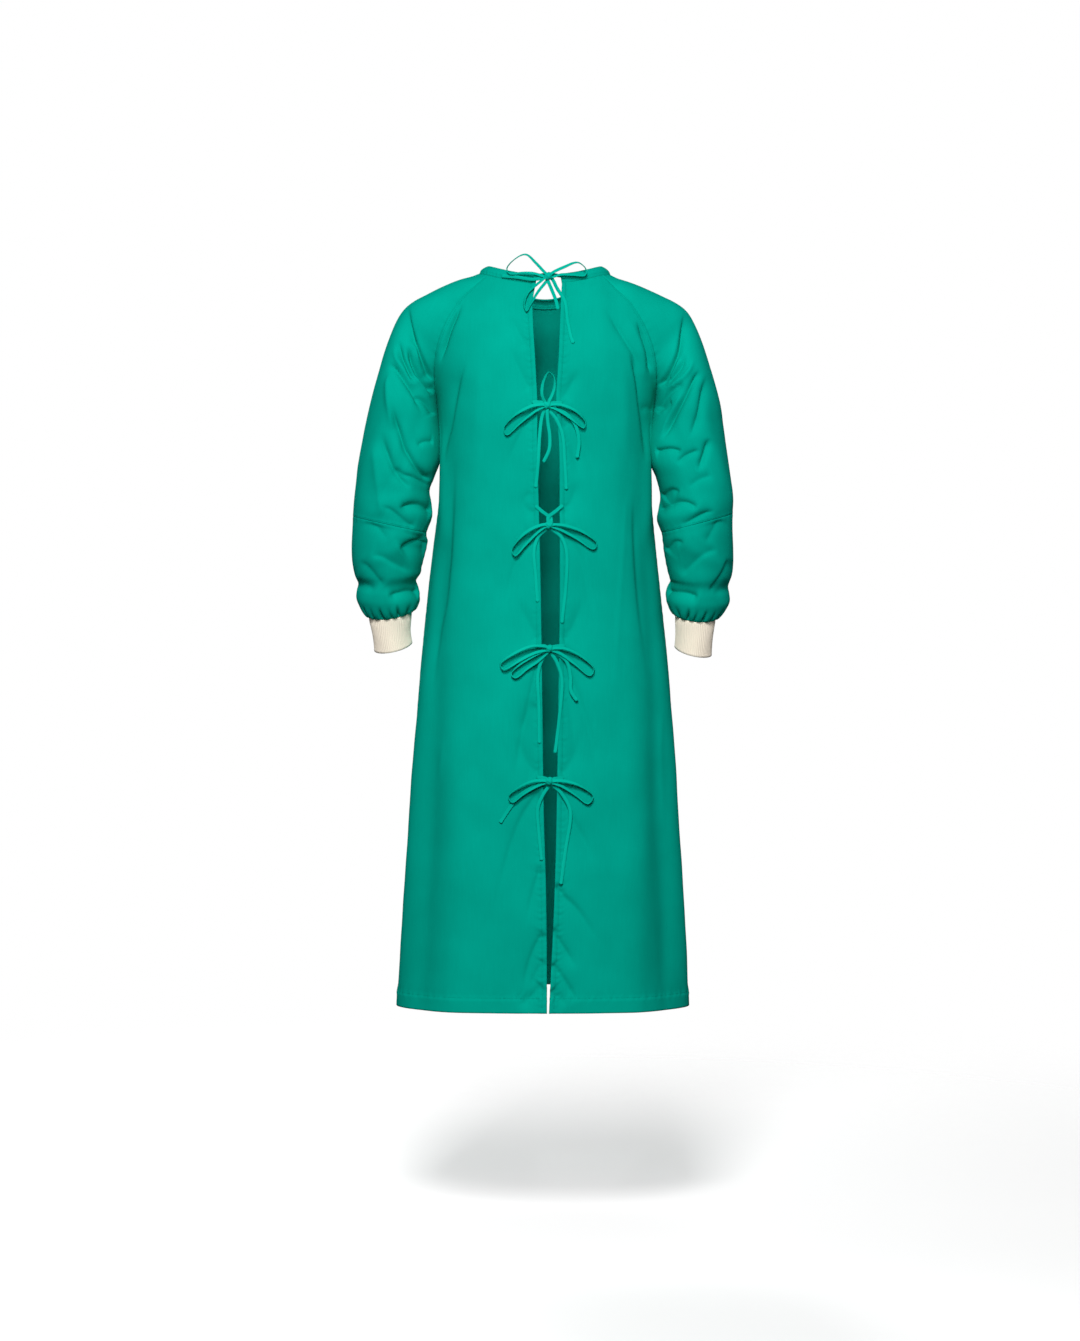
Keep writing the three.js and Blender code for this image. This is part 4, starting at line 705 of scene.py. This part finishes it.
for name, side, other in (("left", 1, "right"), ("right", -1, "left")):
    for part, t, steps, lines in (("sleeve", toward_back(142, 0.45), spread(222, 0), SLEEVE_CREASES),
                                  ("forearm", toward_back(184, 0.25), spread(84, 0.3), FOREARM_CREASES)):
        ends = (0, YOKE_ROWS + UPPER_ROWS) if part == "sleeve" else (YOKE_ROWS + UPPER_ROWS, -1)
        sections = sleeve_sections(side, SLEEVES[name], t)
        points, normals = laid(sections, steps, t, SLEEVE_FOLDS, side, *ends)
        across, down = run(points, 1), run(points, 0)
        to_seam, to_end = np.minimum(across, across[:, -1:] - across), down[-1:] - down
        # The front of a sleeve has the creases of the other sleeve's back, moved a little.
        hidden = [([(-HIDDEN_SHARE * x, drop + HIDDEN_DROP) for x, drop in line], *rest)
                  for line, *rest in lines[other]]
        lift = creases(points, normals, lines[name], 1) + creases(points, normals, hidden, -1) \
            + 1.2 * slack(points, 2 * side)
        lift = lift * smooth(0, SLEEVE_CALM, to_seam)
        if part == "sleeve":
            lift = lift * smooth(0, TOP_CALM, to_end) + seam(to_end, across)
        else:
            lift = lift * smooth(0, TOP_CALM, down) * smooth(0, SLEEVE_CALM, to_end) + gathers(t, to_end)
        lift = lift + seam(down, across) + seam(to_seam, down)
        points, normals = raised(points, normals, lift, side)
        piece = wall_object(part + "_panel_" + name, points, normals, CLOTH_WALL, side, gown_cloth)
        dress(piece, "gown_cloth", part + "_" + name)
        if part == "sleeve":
            stitch_line(points, normals, SEAM_STITCH_IN, "foot", np.s_[2:-2])


# Cuffs. Tubes of cream rib knit, doubled to a folded edge at the wrist and sewn into the gathered
# sleeve ends; the ribs are fine upright ridges all round.
KNIT_WALL, KNIT_PITCH = 1.8, 0.0014
RIBS, RIB_RISE = 64, 0.32
CUFFS = {
    "left": columns(TUBE_COLUMNS, (0, 216, 553.5, 284.8, 563, -27, 35), (1, 219.5, 584, 279, 592, -29, 32),
                    (2, 216.5, 607, 275, 619, -31, 31)),
    "right": columns(TUBE_COLUMNS, (0, 211.5, 560, 275.5, 566, -27, 34), (1, 213, 589, 271.5, 597, -29, 32),
                     (2, 211.5, 613.5, 268.5, 626, -31, 31))}

# Cream cotton rib knit: matt and soft, with a fine bump of stitches 1.4 mm apart. Its colour holds painted
# shade: paler where the bump stands high on the ribs and darker in its hollows, with random fuzz in tone.
rib_knit, tree = fresh("cream rib knit")
place = node(tree, "ShaderNodeUVMap", uv_map="cloth")
loops = node(tree, "ShaderNodeTexWave", {"Vector": (place, "UV"), "Scale": WAVE_SCALE / KNIT_PITCH,
                                         "Distortion": 1.2, "Detail": 1.0}, bands_direction="Y")
fuzz = node(tree, "ShaderNodeTexNoise", {"Vector": (place, "UV"), "Scale": 900.0, "Detail": 2.0})
height = node(tree, "ShaderNodeMath", {0: (loops, "Fac"), 1: (fuzz, "Fac")}, operation="ADD")
bump = node(tree, "ShaderNodeBump", {"Height": (height, "Value"), "Strength": 0.35, "Distance": 0.0002})
# Painted shade: the colour darkens where the stitch bump is low and pales where it is high.
share = node(tree, "ShaderNodeMapRange", {"Value": (height, "Value"), "From Min": 0.4, "From Max": 1.5})
knit = node(tree, "ShaderNodeBsdfPrincipled",
            {"Base Color": blend(tree, (share, "Result"), "#e9dcc6", "#f6ecdc"), "Roughness": 0.9,
             "Specular IOR Level": 0.15, "Sheen Weight": 0.3, "Sheen Roughness": 0.5,
             "Normal": (bump, "Normal")})
node(tree, "ShaderNodeOutputMaterial", {"Surface": (knit, "BSDF")})

for name, side in (("left", 1), ("right", -1)):
    t = np.linspace(0, 1, 6 * RIBS + 1)
    sections = np.array([tube_section(CUFFS[name], row, t, WRIST_TILT) for row in range(3)]) * (side, 1, 1)
    points = through(np.arange(3), sections, spread(12, 0.3) * 2)
    normals = outward(points, side)
    normals[:, [0, -1]] = (normals[:, 1:2] + normals[:, -2:-1]) / 2
    down = run(points, 0)
    to_end = down[-1:] - down
    rib = RIB_RISE * np.cos(2 * np.pi * RIBS * t) * smooth(0, 3, down) * (1 - 0.6 * smooth(-4, 0, -to_end))
    drawn = -0.5 * np.exp(-((down / 5) ** 2)) + 0.5 * np.exp(-((to_end / 4) ** 2))
    uneven = 0.7 * np.sin(2 * np.pi * 3 * t + down / 17) * smooth(2, 14, down)
    points = points + normals * (rib + drawn + uneven)[..., None]
    points[:, -1] = points[:, 0]
    piece = wall_object("knit_cuff_" + name, points, normals, KNIT_WALL, side, rib_knit, loop=True)
    dress(piece, "rib_knit", "cuff_" + name)


# Neck band. A strip of the gown's cloth folded over the raw neck edge and stitched along its foot; it
# ends at the open back, where the top ties are sewn in.
BAND_WALL, BAND_FULL = 2, 2
NECK_TOP = {"half": 92, "back": 72, "front": 77, "back_drop": 18, "side_drop": 0, "front_drop": 48}
apart = [through(OPENING["drop"], OPENING[name], NECK_SEAM["back_drop"]) for name in ("left", "right")]
first, last = (math.degrees(math.asin(edge / NECK_SEAM["half"])) for edge in apart)
t = spread(300, 0.2)
turn = first + (360 - last - first) * t
rings = np.array([neck_point(NECK_TOP, turn), neck_point(NECK_SEAM, turn)])
points = settle(through(np.arange(2), rings, spread(16, 0.3)))
normals = outward(points, 1)
across, down = run(points, 1), run(points, 0)
full = BAND_FULL * np.sin(np.pi * np.clip(down / down[-1:], 0, 1))
from_foot = down[-1:] - down
from_stitch = from_foot - SEAM_STITCH_IN
groove = -0.9 * np.exp(-((from_stitch / 1.3) ** 2)) - 1.5 * np.exp(-((from_foot / 1.8) ** 2))
puckers = 0.5 * ripple(across, 8, 3) * np.exp(-((from_stitch / 5) ** 2))
points, normals = raised(points, normals, full + groove + puckers, 1)
piece = wall_object("bound_neck", points, normals, BAND_WALL, 1, gown_cloth)
dress(piece, "gown_cloth", "neck_band")
stitch_line(points, normals, SEAM_STITCH_IN, "foot", np.s_[:])


# Sewing. Lock stitches of matching thread hold down the turned edges, the hem, the raglan seams, the
# forearm seams and the foot of the neck band; each stitch shows as a short raised bead of thread.
STITCH_PITCH, STITCH_OUT = 3.4, 0.1
STITCH_HALF = np.array([1.25, 0.25, 0.22])

# Spun polyester thread, coloured a shade darker than the cloth as painted shade of the stitch holes.
thread = woven("green sewing thread", "#008471", "#009480", 0.45, 0.05)


def on_line(where, reach, points):
    """Points of a line at distances along it, in straight steps between its own."""
    return np.stack([np.interp(where, reach, points[:, k]) for k in range(3)], -1)


def stitches(lines):
    """Beads along lines: boxes with a narrow top, each set in the line's direction and on its normal."""
    corners = np.array([(-1, -1, -1), (1, -1, -1), (1, 1, -1), (-1, 1, -1),
                        (-0.7, -0.6, 1), (0.7, -0.6, 1), (0.7, 0.6, 1), (-0.7, 0.6, 1)])
    quads = np.array([(0, 3, 2, 1), (4, 5, 6, 7), (0, 1, 5, 4), (1, 2, 6, 5), (2, 3, 7, 6), (3, 0, 4, 7)])
    beads = []
    for points, normals in lines:
        along = run(points, 0)
        at = np.arange(STITCH_PITCH, along[-1] - STITCH_PITCH, STITCH_PITCH)
        middle, ahead = on_line(at, along, points), on_line(at + 1, along, points)
        way, up = ahead - middle, on_line(at, along, normals)
        way, up = (part / np.linalg.norm(part, axis=-1, keepdims=True) for part in (way, up))
        middle = middle + up * (CLOTH_WALL / 2 + STITCH_OUT)
        axes = np.stack([way, np.cross(way, up), up], 1)
        beads.append(middle[:, None] + corners * STITCH_HALF @ axes)
    beads = np.concatenate(beads)
    faces = quads + 8 * np.arange(len(beads))[:, None, None]
    return beads.reshape(-1, 3), faces.reshape(-1, 4)


points, faces = stitches(stitch_lines)
piece = grid_object("stitching", points, faces, points[:, [0, 2]], thread)
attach(piece, "root")


# Ties. Five pairs of narrow flat tapes of the gown's cloth, folded and stitched along their edges and
# sewn to the open edges; each pair is tied in a bow. A tape runs from its edge through the knot, out in
# a loop, back through the knot and down in a free tail with a turned end.
TIE_WIDTH, TIE_THICK, TIE_STEP, TIE_ROUNDING = 5.5, 1.7, 1.8, 1.2
KNOT_LIFT, KNOT_CORE, KNOT_WALL = 7, 0.92, 0.4
KNOT_HALF = np.array([7.2, 5.6, 6.2])
# Stretches of tape as (across, up, out from the back) points, from the middle of the knot.
BOWS = {
    "bow_1": {
        "x": -4.8, "drop": 21,
        "strap_left": [(24, 0, 2.4), (16, 1, 2.8), (8, 2, 4.2)],
        "strap_right": [(-28, 0, 2.4), (-18, 1, 2.8), (-8, 2, 4.2)],
        "loop_left": [(6, 6, 10.5), (20, 21, 10), (35, 34, 9), (52, 28, 8), (65, 14, 7), (60, 5, 6.6),
            (42, 6, 6.6), (24, 5, 8), (8, 0, 8.6)],
        "loop_right": [(-7, 5, 11), (-25, 14, 10), (-46, 22, 9), (-59, 14, 8), (-58, 3, 7), (-40, 3, 7),
            (-22, 3, 7.6), (-8, -1, 8.2)],
        "loop_low": [(6, -4, 9.5), (18, -14, 9.5), (32, -27, 7), (38, -46, 5.6), (34, -57, 5.2),
            (27, -44, 5), (16, -25, 5), (2, -7, 5)],
        "tail_long": [(-6, -4, 5), (-14, -19, 4.4), (-27, -42, 3), (-31, -72, 2.6), (-36, -98, 2.4),
            (-40, -108, 2.4)],
        "tail_short": [(0, -8, 7.4), (-5, -20, 4.6), (-12, -38, 3.6), (-16, -54, 3.4)],
        "tail_side": [(8, -3, 6.6), (26, -5, 5.6), (50, -1, 5), (74, 2, 3.4)]},
    "bow_2": {
        "x": -3.2, "drop": 227,
        "strap_left": [(24, 5, 2.4), (16, 5, 3.2), (7, 4, 5)],
        "strap_right": [(-24, 4, 2.4), (-16, 4, 3), (-8, 3.4, 4.4)],
        "loop_left": [(8, 1, 11), (26, -2, 11), (50, -15, 8.5), (67, -34, 6.6), (63, -46, 5.4),
            (45, -30, 5), (24, -13, 7), (7, -3, 8.4)],
        "loop_right": [(-8, 1, 11), (-24, 0, 11), (-45, -9, 8.5), (-60, -25, 6.6), (-57, -35, 5.4),
            (-40, -22, 5), (-22, -10, 7), (-7, -3, 8.4)],
        "loop_up": [(4, 6, 8), (8, 18, 8.5), (6, 36, 7.5), (-2, 52, 6.5), (-10, 44, 5.6), (-11, 28, 5.6),
            (-7, 15, 6), (-3, 7, 6.8)],
        "tail_left": [(4, -6, 3.4), (9, -22, 2.6), (12, -50, 2.4), (14, -90, 2.4), (18, -130, 2.4)],
        "tail_centre": [(0, -8, 7.5), (-1, -26, 5.6), (-4, -48, 4.6), (-3, -70, 4.2), (6, -90, 3.6)],
        "tail_right": [(-2, -7, 3.2), (-15, -23, 2.6), (-25, -50, 2.4), (-28, -90, 2.4), (-30, -133, 2.4)],
        "tail_side": [(-8, -4, 4.6), (-28, -12, 3), (-44, -30, 2.4), (-50, -56, 2.4), (-47, -83, 2.4)]},
    "bow_3": {
        "x": -6.4, "drop": 415.6,
        "strap_left": [(22, 31, 2.4), (10, 21, 3.2), (0, 13.5, 4), (-3, 9, 5)],
        "strap_right": [(-22, 32, 2.4), (-10, 22, 5.2), (0, 14.5, 7), (2, 9, 8)],
        "loop_left": [(8, 1, 11), (24, -4, 11), (42, -16, 8.5), (58, -37, 6.6), (53, -47, 5.4),
            (38, -31, 5), (20, -13, 7), (7, -3, 8.4)],
        "loop_right": [(-8, 1, 11), (-27, -1, 11), (-52, -10, 8.5), (-74, -27, 6.6), (-69, -37, 5.4),
            (-46, -22, 5), (-22, -9, 7), (-7, -3, 8.4)],
        "tail_left": [(4, -6, 3.6), (17, -18, 2.6), (24, -42, 2.4), (21, -80, 2.4), (18, -121, 2.4)],
        "tail_right": [(-4, -6, 3.6), (-20, -20, 2.6), (-28, -46, 2.4), (-26, -96, 2.4), (-20, -154, 2.4)]},
    "bow_4": {
        "x": -6.4, "drop": 609,
        "strap_left": [(23, 4, 2.4), (15, 4, 3.2), (7, 4, 5)],
        "strap_right": [(-25, 4, 2.4), (-16, 4, 3.2), (-7, 3, 5)],
        "loop_left": [(7.2, 3.6, 12.6), (28, 4, 12), (54, -7, 10.4), (76, -23, 9), (70, -32, 8.4),
            (46, -18, 8.6), (24, -7, 9), (7.8, -2.7, 9.5)],
        "loop_low": [(8.4, -3.5, 7.7), (26, -12, 6.8), (46, -25, 6), (59, -39, 5.4), (52, -45, 5),
            (36, -32, 4.8), (17, -19, 5), (4.3, -7.7, 5.2)],
        "loop_right": [(-8, 1, 11), (-26, 0, 11), (-50, -12, 8.5), (-70, -31, 6.6), (-63, -42, 5.4),
            (-42, -25, 5), (-22, -10, 7), (-7, -3, 8.4)],
        "tail_left": [(4, -7, 3), (13, -22, 2.4), (18, -46, 2.2), (16, -96, 2.2), (15, -148, 2.2)],
        "tail_right": [(-3, -7, 3), (-13, -24, 2.4), (-20, -52, 2.4), (-16, -108, 2.4), (-9, -163, 2.4)],
        "tail_side": [(-8, -4, 5.4), (-27, -20, 4), (-33, -44, 2.6), (-34, -66, 2.4), (-44, -82, 2.4)]},
    "bow_5": {
        "x": -6.4, "drop": 815,
        "strap_left": [(20, 6, 2.4), (13, 5, 3.4), (6, 4, 5)],
        "strap_right": [(-23, 4, 2.4), (-15, 4, 3.2), (-7, 3, 5)],
        "loop_left": [(8, 1, 11), (26, 0, 11), (46, -9, 8.5), (63, -23, 6.6), (57, -33, 5.8),
            (40, -20, 5.6), (22, -9, 7.2), (8, -3, 8.4)],
        "loop_right": [(-8, 1, 11), (-26, 0, 11), (-49, -8, 8.5), (-68, -23, 6.6), (-60, -35, 5.4),
            (-42, -22, 5), (-22, -9, 7), (-7, -3, 8.4)],
        "tail_side": [(7, -4, 4.8), (24, -9, 3.6), (46, -23, 2.4), (63, -44, 2.4), (77, -66, 2.4)],
        "tail_left": [(1, -8, 3), (10, -22, 2.4), (18, -44, 2.4), (16, -80, 2.4), (12, -124, 2.4)],
        "tail_right": [(-5, -6, 3.2), (-21, -22, 2.6), (-33, -50, 2.4), (-26, -104, 2.4), (-18, -161, 2.4)]}}
# The stretches of each tape, in their order.
TAPES = {
    "bow_1": [("strap_left", "loop_left", "tail_long"), ("strap_right", "loop_right", "tail_short"),
              ("loop_low", "tail_side")],
    "bow_2": [("strap_left", "loop_left", "tail_left"), ("strap_right", "loop_right", "tail_right"),
              ("loop_up", "tail_centre"), ("tail_side",)],
    "bow_3": [("strap_left", "loop_left", "tail_left"), ("strap_right", "loop_right", "tail_right")],
    "bow_4": [("strap_left", "loop_left", "tail_left"), ("strap_right", "loop_right", "tail_right"),
              ("loop_low", "tail_side")],
    "bow_5": [("strap_left", "loop_left", "tail_left"), ("strap_right", "loop_right", "tail_right"),
              ("tail_side",)]}

# Folded tape of the gown's poly-cotton, pressed flat; its colour is a little lighter than the panels' as
# painted light on the raised tape.
tie_tape = woven("green poly-cotton tape", "#009f8a", "#06ad97", 0.5, 0.06)


def back_surface(x, drop):
    """Depth of the back at distances from the centre line and drops, carried on across the opening."""
    rows = np.linspace(0, YOKE_ROWS + SKIRT_ROWS, 400)
    row = np.interp(drop, body_section(rows, 1, "back")["centre_drop"], rows)
    depths = []
    for side in (1, -1):
        section = body_section(row, side, "back")
        angle = angle_at(section, np.minimum(np.abs(x), 0.9 * section["reach"]))
        depths.append(section["depth"] * signed_power(np.cos(angle), 2 / section["power"]))
    return np.where(x >= 0, *depths)


def tape_route(bow, names):
    """One tape's points in space: its stretches in turn, passing the middle of the knot between them. Also
    the first and last point of its loop."""
    route, loop = [], (0, 0)
    for k, name in enumerate(names):
        if k or name.startswith(("loop", "tail")):
            route.append((1.5 * (-1) ** k, 1 - 2 * k, KNOT_LIFT + 1.5 - 2 * k))
        if name.startswith("loop"):
            loop = (len(route), len(route) + len(bow[name]) - 1)
        route += bow[name]
    x, z, lift = np.array(route, float).T
    x, z = x + bow["x"], z - bow["drop"]
    return np.stack([x, back_surface(x, -z) + lift, z], -1), loop


def evenly(points, loop, step):
    """A smooth curve through points, by the root of their distance, in even steps. Also its length and where
    its loop lies on it."""
    reach = np.concatenate([[0], np.cumsum(np.linalg.norm(np.diff(points, axis=0), axis=-1) ** 0.5)])
    fine = np.linspace(0, reach[-1], 60 * len(points))
    curve = through(reach, points, fine)
    length = run(curve, 0)
    path = on_line(np.linspace(0, length[-1], int(length[-1] / step) + 1), length, curve)
    return path, length[-1], np.interp(reach[list(loop)], fine, length)


def tape_object(name, path, length, loop, seed):
    """A flat tape swept along its path. It faces away from the gown and wavers a little, is slightly cupped,
    and swells at its turned end. Round a loop it stands up and goes over on its other face: from 40 degrees
    by the knot to 90 at the loop's end and 140 back at the knot, away from the side to which it turns."""
    s = np.linspace(0, length, len(path))
    way = np.gradient(path, axis=0)
    way /= np.linalg.norm(way, axis=-1, keepdims=True)
    aside = np.cross(way, (0, 1, 0))
    aside /= np.maximum(np.linalg.norm(aside, axis=-1, keepdims=True), 0.05)
    face = np.cross(aside, way)
    start, end = loop
    roll = np.radians(10) * np.sin(s / 19 + seed) * smooth(0, 30, s)
    if end > start:
        bend = np.cross(way, np.gradient(way, axis=0)) @ (0, 1, 0)
        turns = -np.sign(bend[(s > start) & (s < end)].sum())
        over = 40 * smooth(start - 12, start, s) + 100 * smooth(0.1, 0.9, (s - start) / (end - start)) \
            + 40 * smooth(end, end + 20, s)
        roll = roll + turns * np.radians(over)
    roll = roll[:, None]
    across = aside * np.cos(roll) + face * np.sin(roll)
    out = face * np.cos(roll) - aside * np.sin(roll)
    turned = 1 - smooth(0, 5, length - s)
    to_cap = np.clip(TIE_ROUNDING - np.minimum(s, length - s), 0, TIE_ROUNDING) / TIE_ROUNDING
    cap = np.sqrt(np.clip(1 - to_cap**2, 0.02, 1))
    half = 8
    angle = np.linspace(0, 2 * np.pi, 2 * half, endpoint=False)
    wide = np.outer(TIE_WIDTH / 2 * (1 + 0.12 * turned) * cap, signed_power(np.cos(angle), 0.7))
    thick = np.outer(TIE_THICK / 2 * (1 + 0.9 * turned) * cap, signed_power(np.sin(angle), 0.7)) \
        * (1 - 0.25 * np.exp(-((np.abs(wide) - 1.6) / 0.5) ** 2)) + 0.35 * (2 * wide / TIE_WIDTH) ** 2
    points = path[:, None] + wide[..., None] * across[:, None] + thick[..., None] * out[:, None]
    index = np.arange(points[..., 0].size).reshape(points.shape[:2])
    quads = quads_of(np.concatenate([index, index[:, :1]], 1), True)
    ends = [np.stack([ring[:half - 1], ring[1:half], ring[-2:half - 1:-1], ring[-1:half:-1]], -1)[:, order]
            for ring, order in ((index[0], slice(None)), (index[-1], slice(None, None, -1)))]
    uv = np.stack(np.broadcast_arrays(wide, s[:, None]), -1).reshape(-1, 2)
    return grid_object(name, points.reshape(-1, 3), np.concatenate([quads, *ends]), uv, tie_tape)


def knot_object(name, centre, seed):
    """A pulled-tight knot: a rounded lump on which two wraps of tape stand proud, crossing at a slant."""
    around, up = np.linspace(0, 2 * np.pi, 49), np.linspace(0.02, np.pi - 0.02, 33)
    ball = np.stack([np.outer(np.sin(up), np.cos(around)), np.outer(np.sin(up), np.sin(around)),
                     np.outer(np.cos(up), np.ones(49))], -1)
    height = np.ones(ball.shape[:2])
    for tilt, high in ((0.35 + 0.2 * math.sin(seed), 0.16), (-0.9 + 0.2 * math.cos(seed), 0.1)):
        off = np.abs(ball @ (math.cos(tilt), 0.15, math.sin(tilt)))
        height += high * (1 - smooth(0.30, 0.44, off)) - 0.05 * np.exp(-(((off - 0.47) / 0.06) ** 2))
    points = centre + ball * KNOT_HALF * KNOT_CORE * height[..., None]
    return wall_object(name, points, outward(points, 1), KNOT_WALL, 1, tie_tape, loop=True)


for number, (bow_name, bow) in enumerate(BOWS.items()):
    centre = np.array([bow["x"], back_surface(bow["x"], bow["drop"]) + KNOT_LIFT, -bow["drop"]])
    knot = knot_object(bow_name + "_tied_knot", centre, number)
    dress(knot, "tie_tape", bow_name + "_knot")
    for k, names in enumerate(TAPES[bow_name]):
        path, length, loop = evenly(*tape_route(bow, names), TIE_STEP)
        piece = tape_object(bow_name + "_tape_" + str(k + 1), path, length, loop, 5 * number + 2 * k)
        dress(piece, "tie_tape", *(bow_name + "_" + name for name in names))


# Studio. A pale floor that fades into a white backdrop, which throws no light. One soft light stands high
# behind the camera and a weaker one lower down, one lights the front, and faint ones the top and sides.
# The camera stands level behind the gown.
FLOOR, FLOOR_RADIUS, BACKDROP_RADIUS = -1.543, 3400, 14000
CAMERA_ASIDE, CAMERA_AWAY, CAMERA_HEIGHT = 0.008, 5.2, -0.400
FRAME_MIDDLE, FRAME_HEIGHT = -0.650, 2.160


def set_piece(name, points, flip, material):
    """A piece of the set from a grid of points."""
    index = np.arange(points[..., 0].size).reshape(points.shape[:2])
    points = points.reshape(-1, 3)
    piece = grid_object(name, points, quads_of(index, flip), points[:, :2], material)
    return piece


# Pale matt paper, clear toward its rim.
paper, tree = fresh("pale studio floor")
place = node(tree, "ShaderNodeTexCoord")
far = node(tree, "ShaderNodeVectorMath", {0: (place, "Object"), 1: (0, 0, FLOOR)}, operation="DISTANCE")
fade = node(tree, "ShaderNodeMapRange", {"Value": (far, "Value"), "From Min": 0.5, "From Max": 2.2},
            interpolation_type="SMOOTHSTEP")
clear = node(tree, "ShaderNodeBsdfTransparent")
matt = node(tree, "ShaderNodeBsdfDiffuse", {"Color": (0.92, 0.92, 0.92, 1)})
mixed = node(tree, "ShaderNodeMixShader", {0: (fade, "Result"), 1: (matt, "BSDF"), 2: (clear, "BSDF")})
node(tree, "ShaderNodeOutputMaterial", {"Surface": (mixed, "Shader")})
around, out = np.meshgrid(np.linspace(0, 2 * np.pi, 97), np.linspace(0.001, FLOOR_RADIUS, 40))
points = np.stack([out * np.cos(around), out * np.sin(around), np.full(out.shape, FLOOR / MM)], -1)
floor = set_piece("floor", points, True, paper)
floor.visible_diffuse = False

# White paper, lit evenly: a dome all round.
white, tree = fresh("white backdrop")
glow = node(tree, "ShaderNodeEmission", {"Color": (1, 1, 1, 1), "Strength": 1.0})
node(tree, "ShaderNodeOutputMaterial", {"Surface": (glow, "Emission")})
around, up = np.meshgrid(np.linspace(0, 2 * np.pi, 65), np.linspace(0, np.pi, 33))
ball = np.stack([np.sin(up) * np.cos(around), np.sin(up) * np.sin(around), np.cos(up)], -1)
dome = set_piece("backdrop", BACKDROP_RADIUS * ball, False, white)
dome.visible_diffuse = dome.visible_glossy = dome.visible_shadow = False

# A faint even light from all round.
surround = bpy.data.worlds.new("dim room")
surround.use_nodes = True
tree = surround.node_tree
tree.nodes.clear()
sky = node(tree, "ShaderNodeBackground", {"Color": (1, 1, 1, 1), "Strength": 0.07})
node(tree, "ShaderNodeOutputWorld", {"Surface": (sky, "Background")})
bpy.context.scene.world = surround


def soft_light(name, place, target, size, power):
    """A square area light that faces its target."""
    light = bpy.data.lights.new(name, "AREA")
    light.size, light.energy = size, power
    lamp = bpy.data.objects.new(name, light)
    lamp.location = place
    lamp.rotation_euler = (Vector(target) - Vector(place)).to_track_quat("-Z", "Y").to_euler()
    bpy.context.scene.collection.objects.link(lamp)


soft_light("key", (0.34, 3.6, 1.9), (0, 0, -0.8), 0.9, 152)
soft_light("low key", (0.05, 3.2, 0.5), (0, 0, -1.15), 0.8, 45)
soft_light("top", (0, -0.6, 3.2), (0, 0, -1.5), 2.2, 14)
soft_light("front", (1.1, -3.4, 0.5), (0, 0, -0.65), 1.0, 125)
soft_light("side left", (3.4, -1.2, 0.4), (0, 0, -0.7), 1.4, 16)
soft_light("side right", (-3.4, -1.2, 0.4), (0, 0, -0.7), 1.4, 16)

lens = bpy.data.cameras.new("camera")
lens.sensor_width, lens.lens = 36, 36 * CAMERA_AWAY / FRAME_HEIGHT
lens.shift_y = (FRAME_MIDDLE - CAMERA_HEIGHT) / FRAME_HEIGHT
camera = bpy.data.objects.new("camera", lens)
camera.location = (CAMERA_ASIDE, CAMERA_AWAY, CAMERA_HEIGHT)
camera.rotation_euler = (math.pi / 2, 0, math.pi)
bpy.context.scene.collection.objects.link(camera)
bpy.context.scene.camera = camera
bpy.context.scene.view_settings.view_transform = "Standard"
